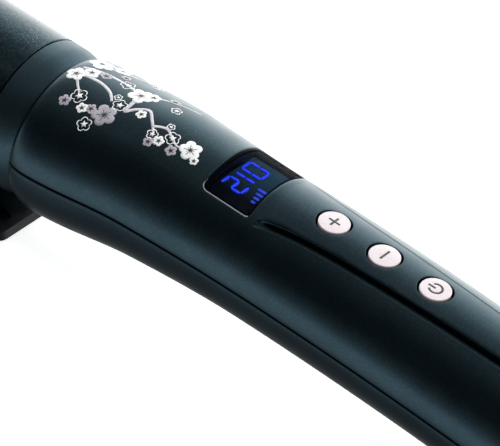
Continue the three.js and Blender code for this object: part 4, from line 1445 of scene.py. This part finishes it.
CAMERA_AZIMUTH = math.radians(34.547)
CAMERA_ELEVATION = math.radians(37.207)
CAMERA_ROLL = math.radians(6.889)
CAMERA_DISTANCE = 939.24
CAMERA_TARGET = (47.66, -0.465, 6.33)  # on the iron, between the display and the blossoms
CAMERA_LENS = 353.25


def add_camera():
    data = bpy.data.cameras.new("camera")
    data.lens = CAMERA_LENS
    data.sensor_width = 36
    data.clip_start = 0.05
    data.clip_end = 50
    camera = added("camera", data)
    sin_a, cos_a = math.sin(CAMERA_AZIMUTH), math.cos(CAMERA_AZIMUTH)
    sin_e, cos_e = math.sin(CAMERA_ELEVATION), math.cos(CAMERA_ELEVATION)
    back = Vector((sin_a * cos_e, -cos_a * cos_e, sin_e))
    level_right = Vector((cos_a, sin_a, 0))
    level_up = back.cross(level_right)
    right = level_right * math.cos(CAMERA_ROLL) + level_up * math.sin(CAMERA_ROLL)
    up = level_up * math.cos(CAMERA_ROLL) - level_right * math.sin(CAMERA_ROLL)
    place = IRON @ Vector(CAMERA_TARGET) + back * CAMERA_DISTANCE * MM
    camera.matrix_world = Matrix.Translation(place) @ Matrix((right, up, back)).transposed().to_4x4()
    bpy.context.scene.camera = camera


STUDIO_STRENGTH = 3.2
# Brightness of the studio by its angle in degrees from straight up, positive towards the far side
STUDIO = (
    (-180, 0.035), (-152, 0.058), (-130, 0.31), (-112, 0.45), (-97, 0.075), (-76, 0.010), (-52, 0.012),
    (-32, 0.034), (-12, 0.095), (8, 0.10), (27, 0.185), (47, 0.54), (66, 0.82), (90, 0.84), (110, 0.68),
    (130, 0.34), (160, 0.08), (180, 0.035),
)
FRONT_LIMIT = -20  # the light in front of this angle is a little bluer than the rest
FRONT_TINT = (0.90, 0.98, 1.03)
FAR_TINT = (0.97, 1.0, 1.0)


def add_studio():
    """Soft light all round: a bright far side, a dim near side and a low strip of light in front."""
    world = bpy.data.worlds.new("studio")
    bpy.context.scene.world = world
    world.use_nodes = True
    tree = world.node_tree
    coords = tree.nodes.new("ShaderNodeTexCoord")
    parts = tree.nodes.new("ShaderNodeSeparateXYZ")
    angle = tree.nodes.new("ShaderNodeMath")
    angle.operation = "ARCTAN2"
    tree.links.new(coords.outputs["Generated"], parts.inputs["Vector"])
    tree.links.new(parts.outputs["Y"], angle.inputs[0])
    tree.links.new(parts.outputs["Z"], angle.inputs[1])
    share = ranged(tree, angle.outputs["Value"], 0, 1, -math.pi, math.pi)
    ramp = tree.nodes.new("ShaderNodeValToRGB")
    ramp.color_ramp.interpolation = "EASE"
    stops = ramp.color_ramp.elements
    while len(stops) < len(STUDIO):
        stops.new(0.5)
    for stop, (degrees, level) in zip(stops, STUDIO):
        stop.position = (degrees + 180) / 360
        tint = FRONT_TINT if degrees < FRONT_LIMIT else FAR_TINT
        stop.color = (*[level * k for k in tint], 1)
    tree.links.new(share, ramp.inputs["Fac"])
    background = tree.nodes["Background"]
    background.inputs["Strength"].default_value = STUDIO_STRENGTH
    tree.links.new(ramp.outputs["Color"], background.inputs["Color"])


def add_overhead():
    data = bpy.data.lights.new("overhead_softbox", "AREA")
    data.shape = "DISK"
    data.size = 1.6
    data.energy = 26
    light = added("overhead_softbox", data)
    light.location = (0.1, 0.1, 1.5)
    light.visible_glossy = False


def stage_material():
    material, tree, shader = new_material("pale_floor", Roughness=0.9)
    coords = tree.nodes.new("ShaderNodeTexCoord")
    tone = mixed(tree, noise(tree, coords, 0.02, 3), (0.86, 0.86, 0.86), (0.90, 0.90, 0.90))
    tree.links.new(tone, shader.inputs["Base Color"])
    shader.inputs["Emission Color"].default_value = (1, 1, 1, 1)
    shader.inputs["Emission Strength"].default_value = 0.75
    return material


def add_stage():
    """A pale flat floor with a pale wall far round it, seen by the camera but not in reflections."""
    material = stage_material()
    reach, bend, height = 30 / MM, 6 / MM, 30 / MM
    count = 96
    rings = [(0, 0), (reach, 0)]
    rings += [(reach + bend * math.sin(t), bend * (1 - math.cos(t))) for t in spread(0, math.pi / 2, 8)[1:]]
    rings.append((reach + bend, height))
    points = [(0, 0, 0)]
    for radius, lift in rings[1:]:
        for k in range(count):
            angle = 2 * math.pi * k / count
            points.append((radius * math.cos(angle), radius * math.sin(angle), lift))
    faces = [(0, 1 + k, 1 + (k + 1) % count) for k in range(count)]
    for i in range(len(rings) - 2):
        for k in range(count):
            n = (k + 1) % count
            a, b = 1 + i * count, 1 + (i + 1) * count
            faces.append((a + k, b + k, b + n, a + n))
    mesh = bpy.data.meshes.new("floor")
    mesh.from_pydata([Vector(p) * MM for p in points], [], faces)
    mesh.materials.append(material)
    floor = added("floor", mesh)
    floor.visible_glossy = False
    floor.visible_diffuse = False
    floor.visible_shadow = False


add_camera()
build_handle()
build_display()
build_buttons()
build_print()
build_barrel()
build_clip()
build_swivel()
dress_carried()
add_studio()
add_overhead()
add_stage()
bpy.context.scene.view_settings.view_transform = "Standard"
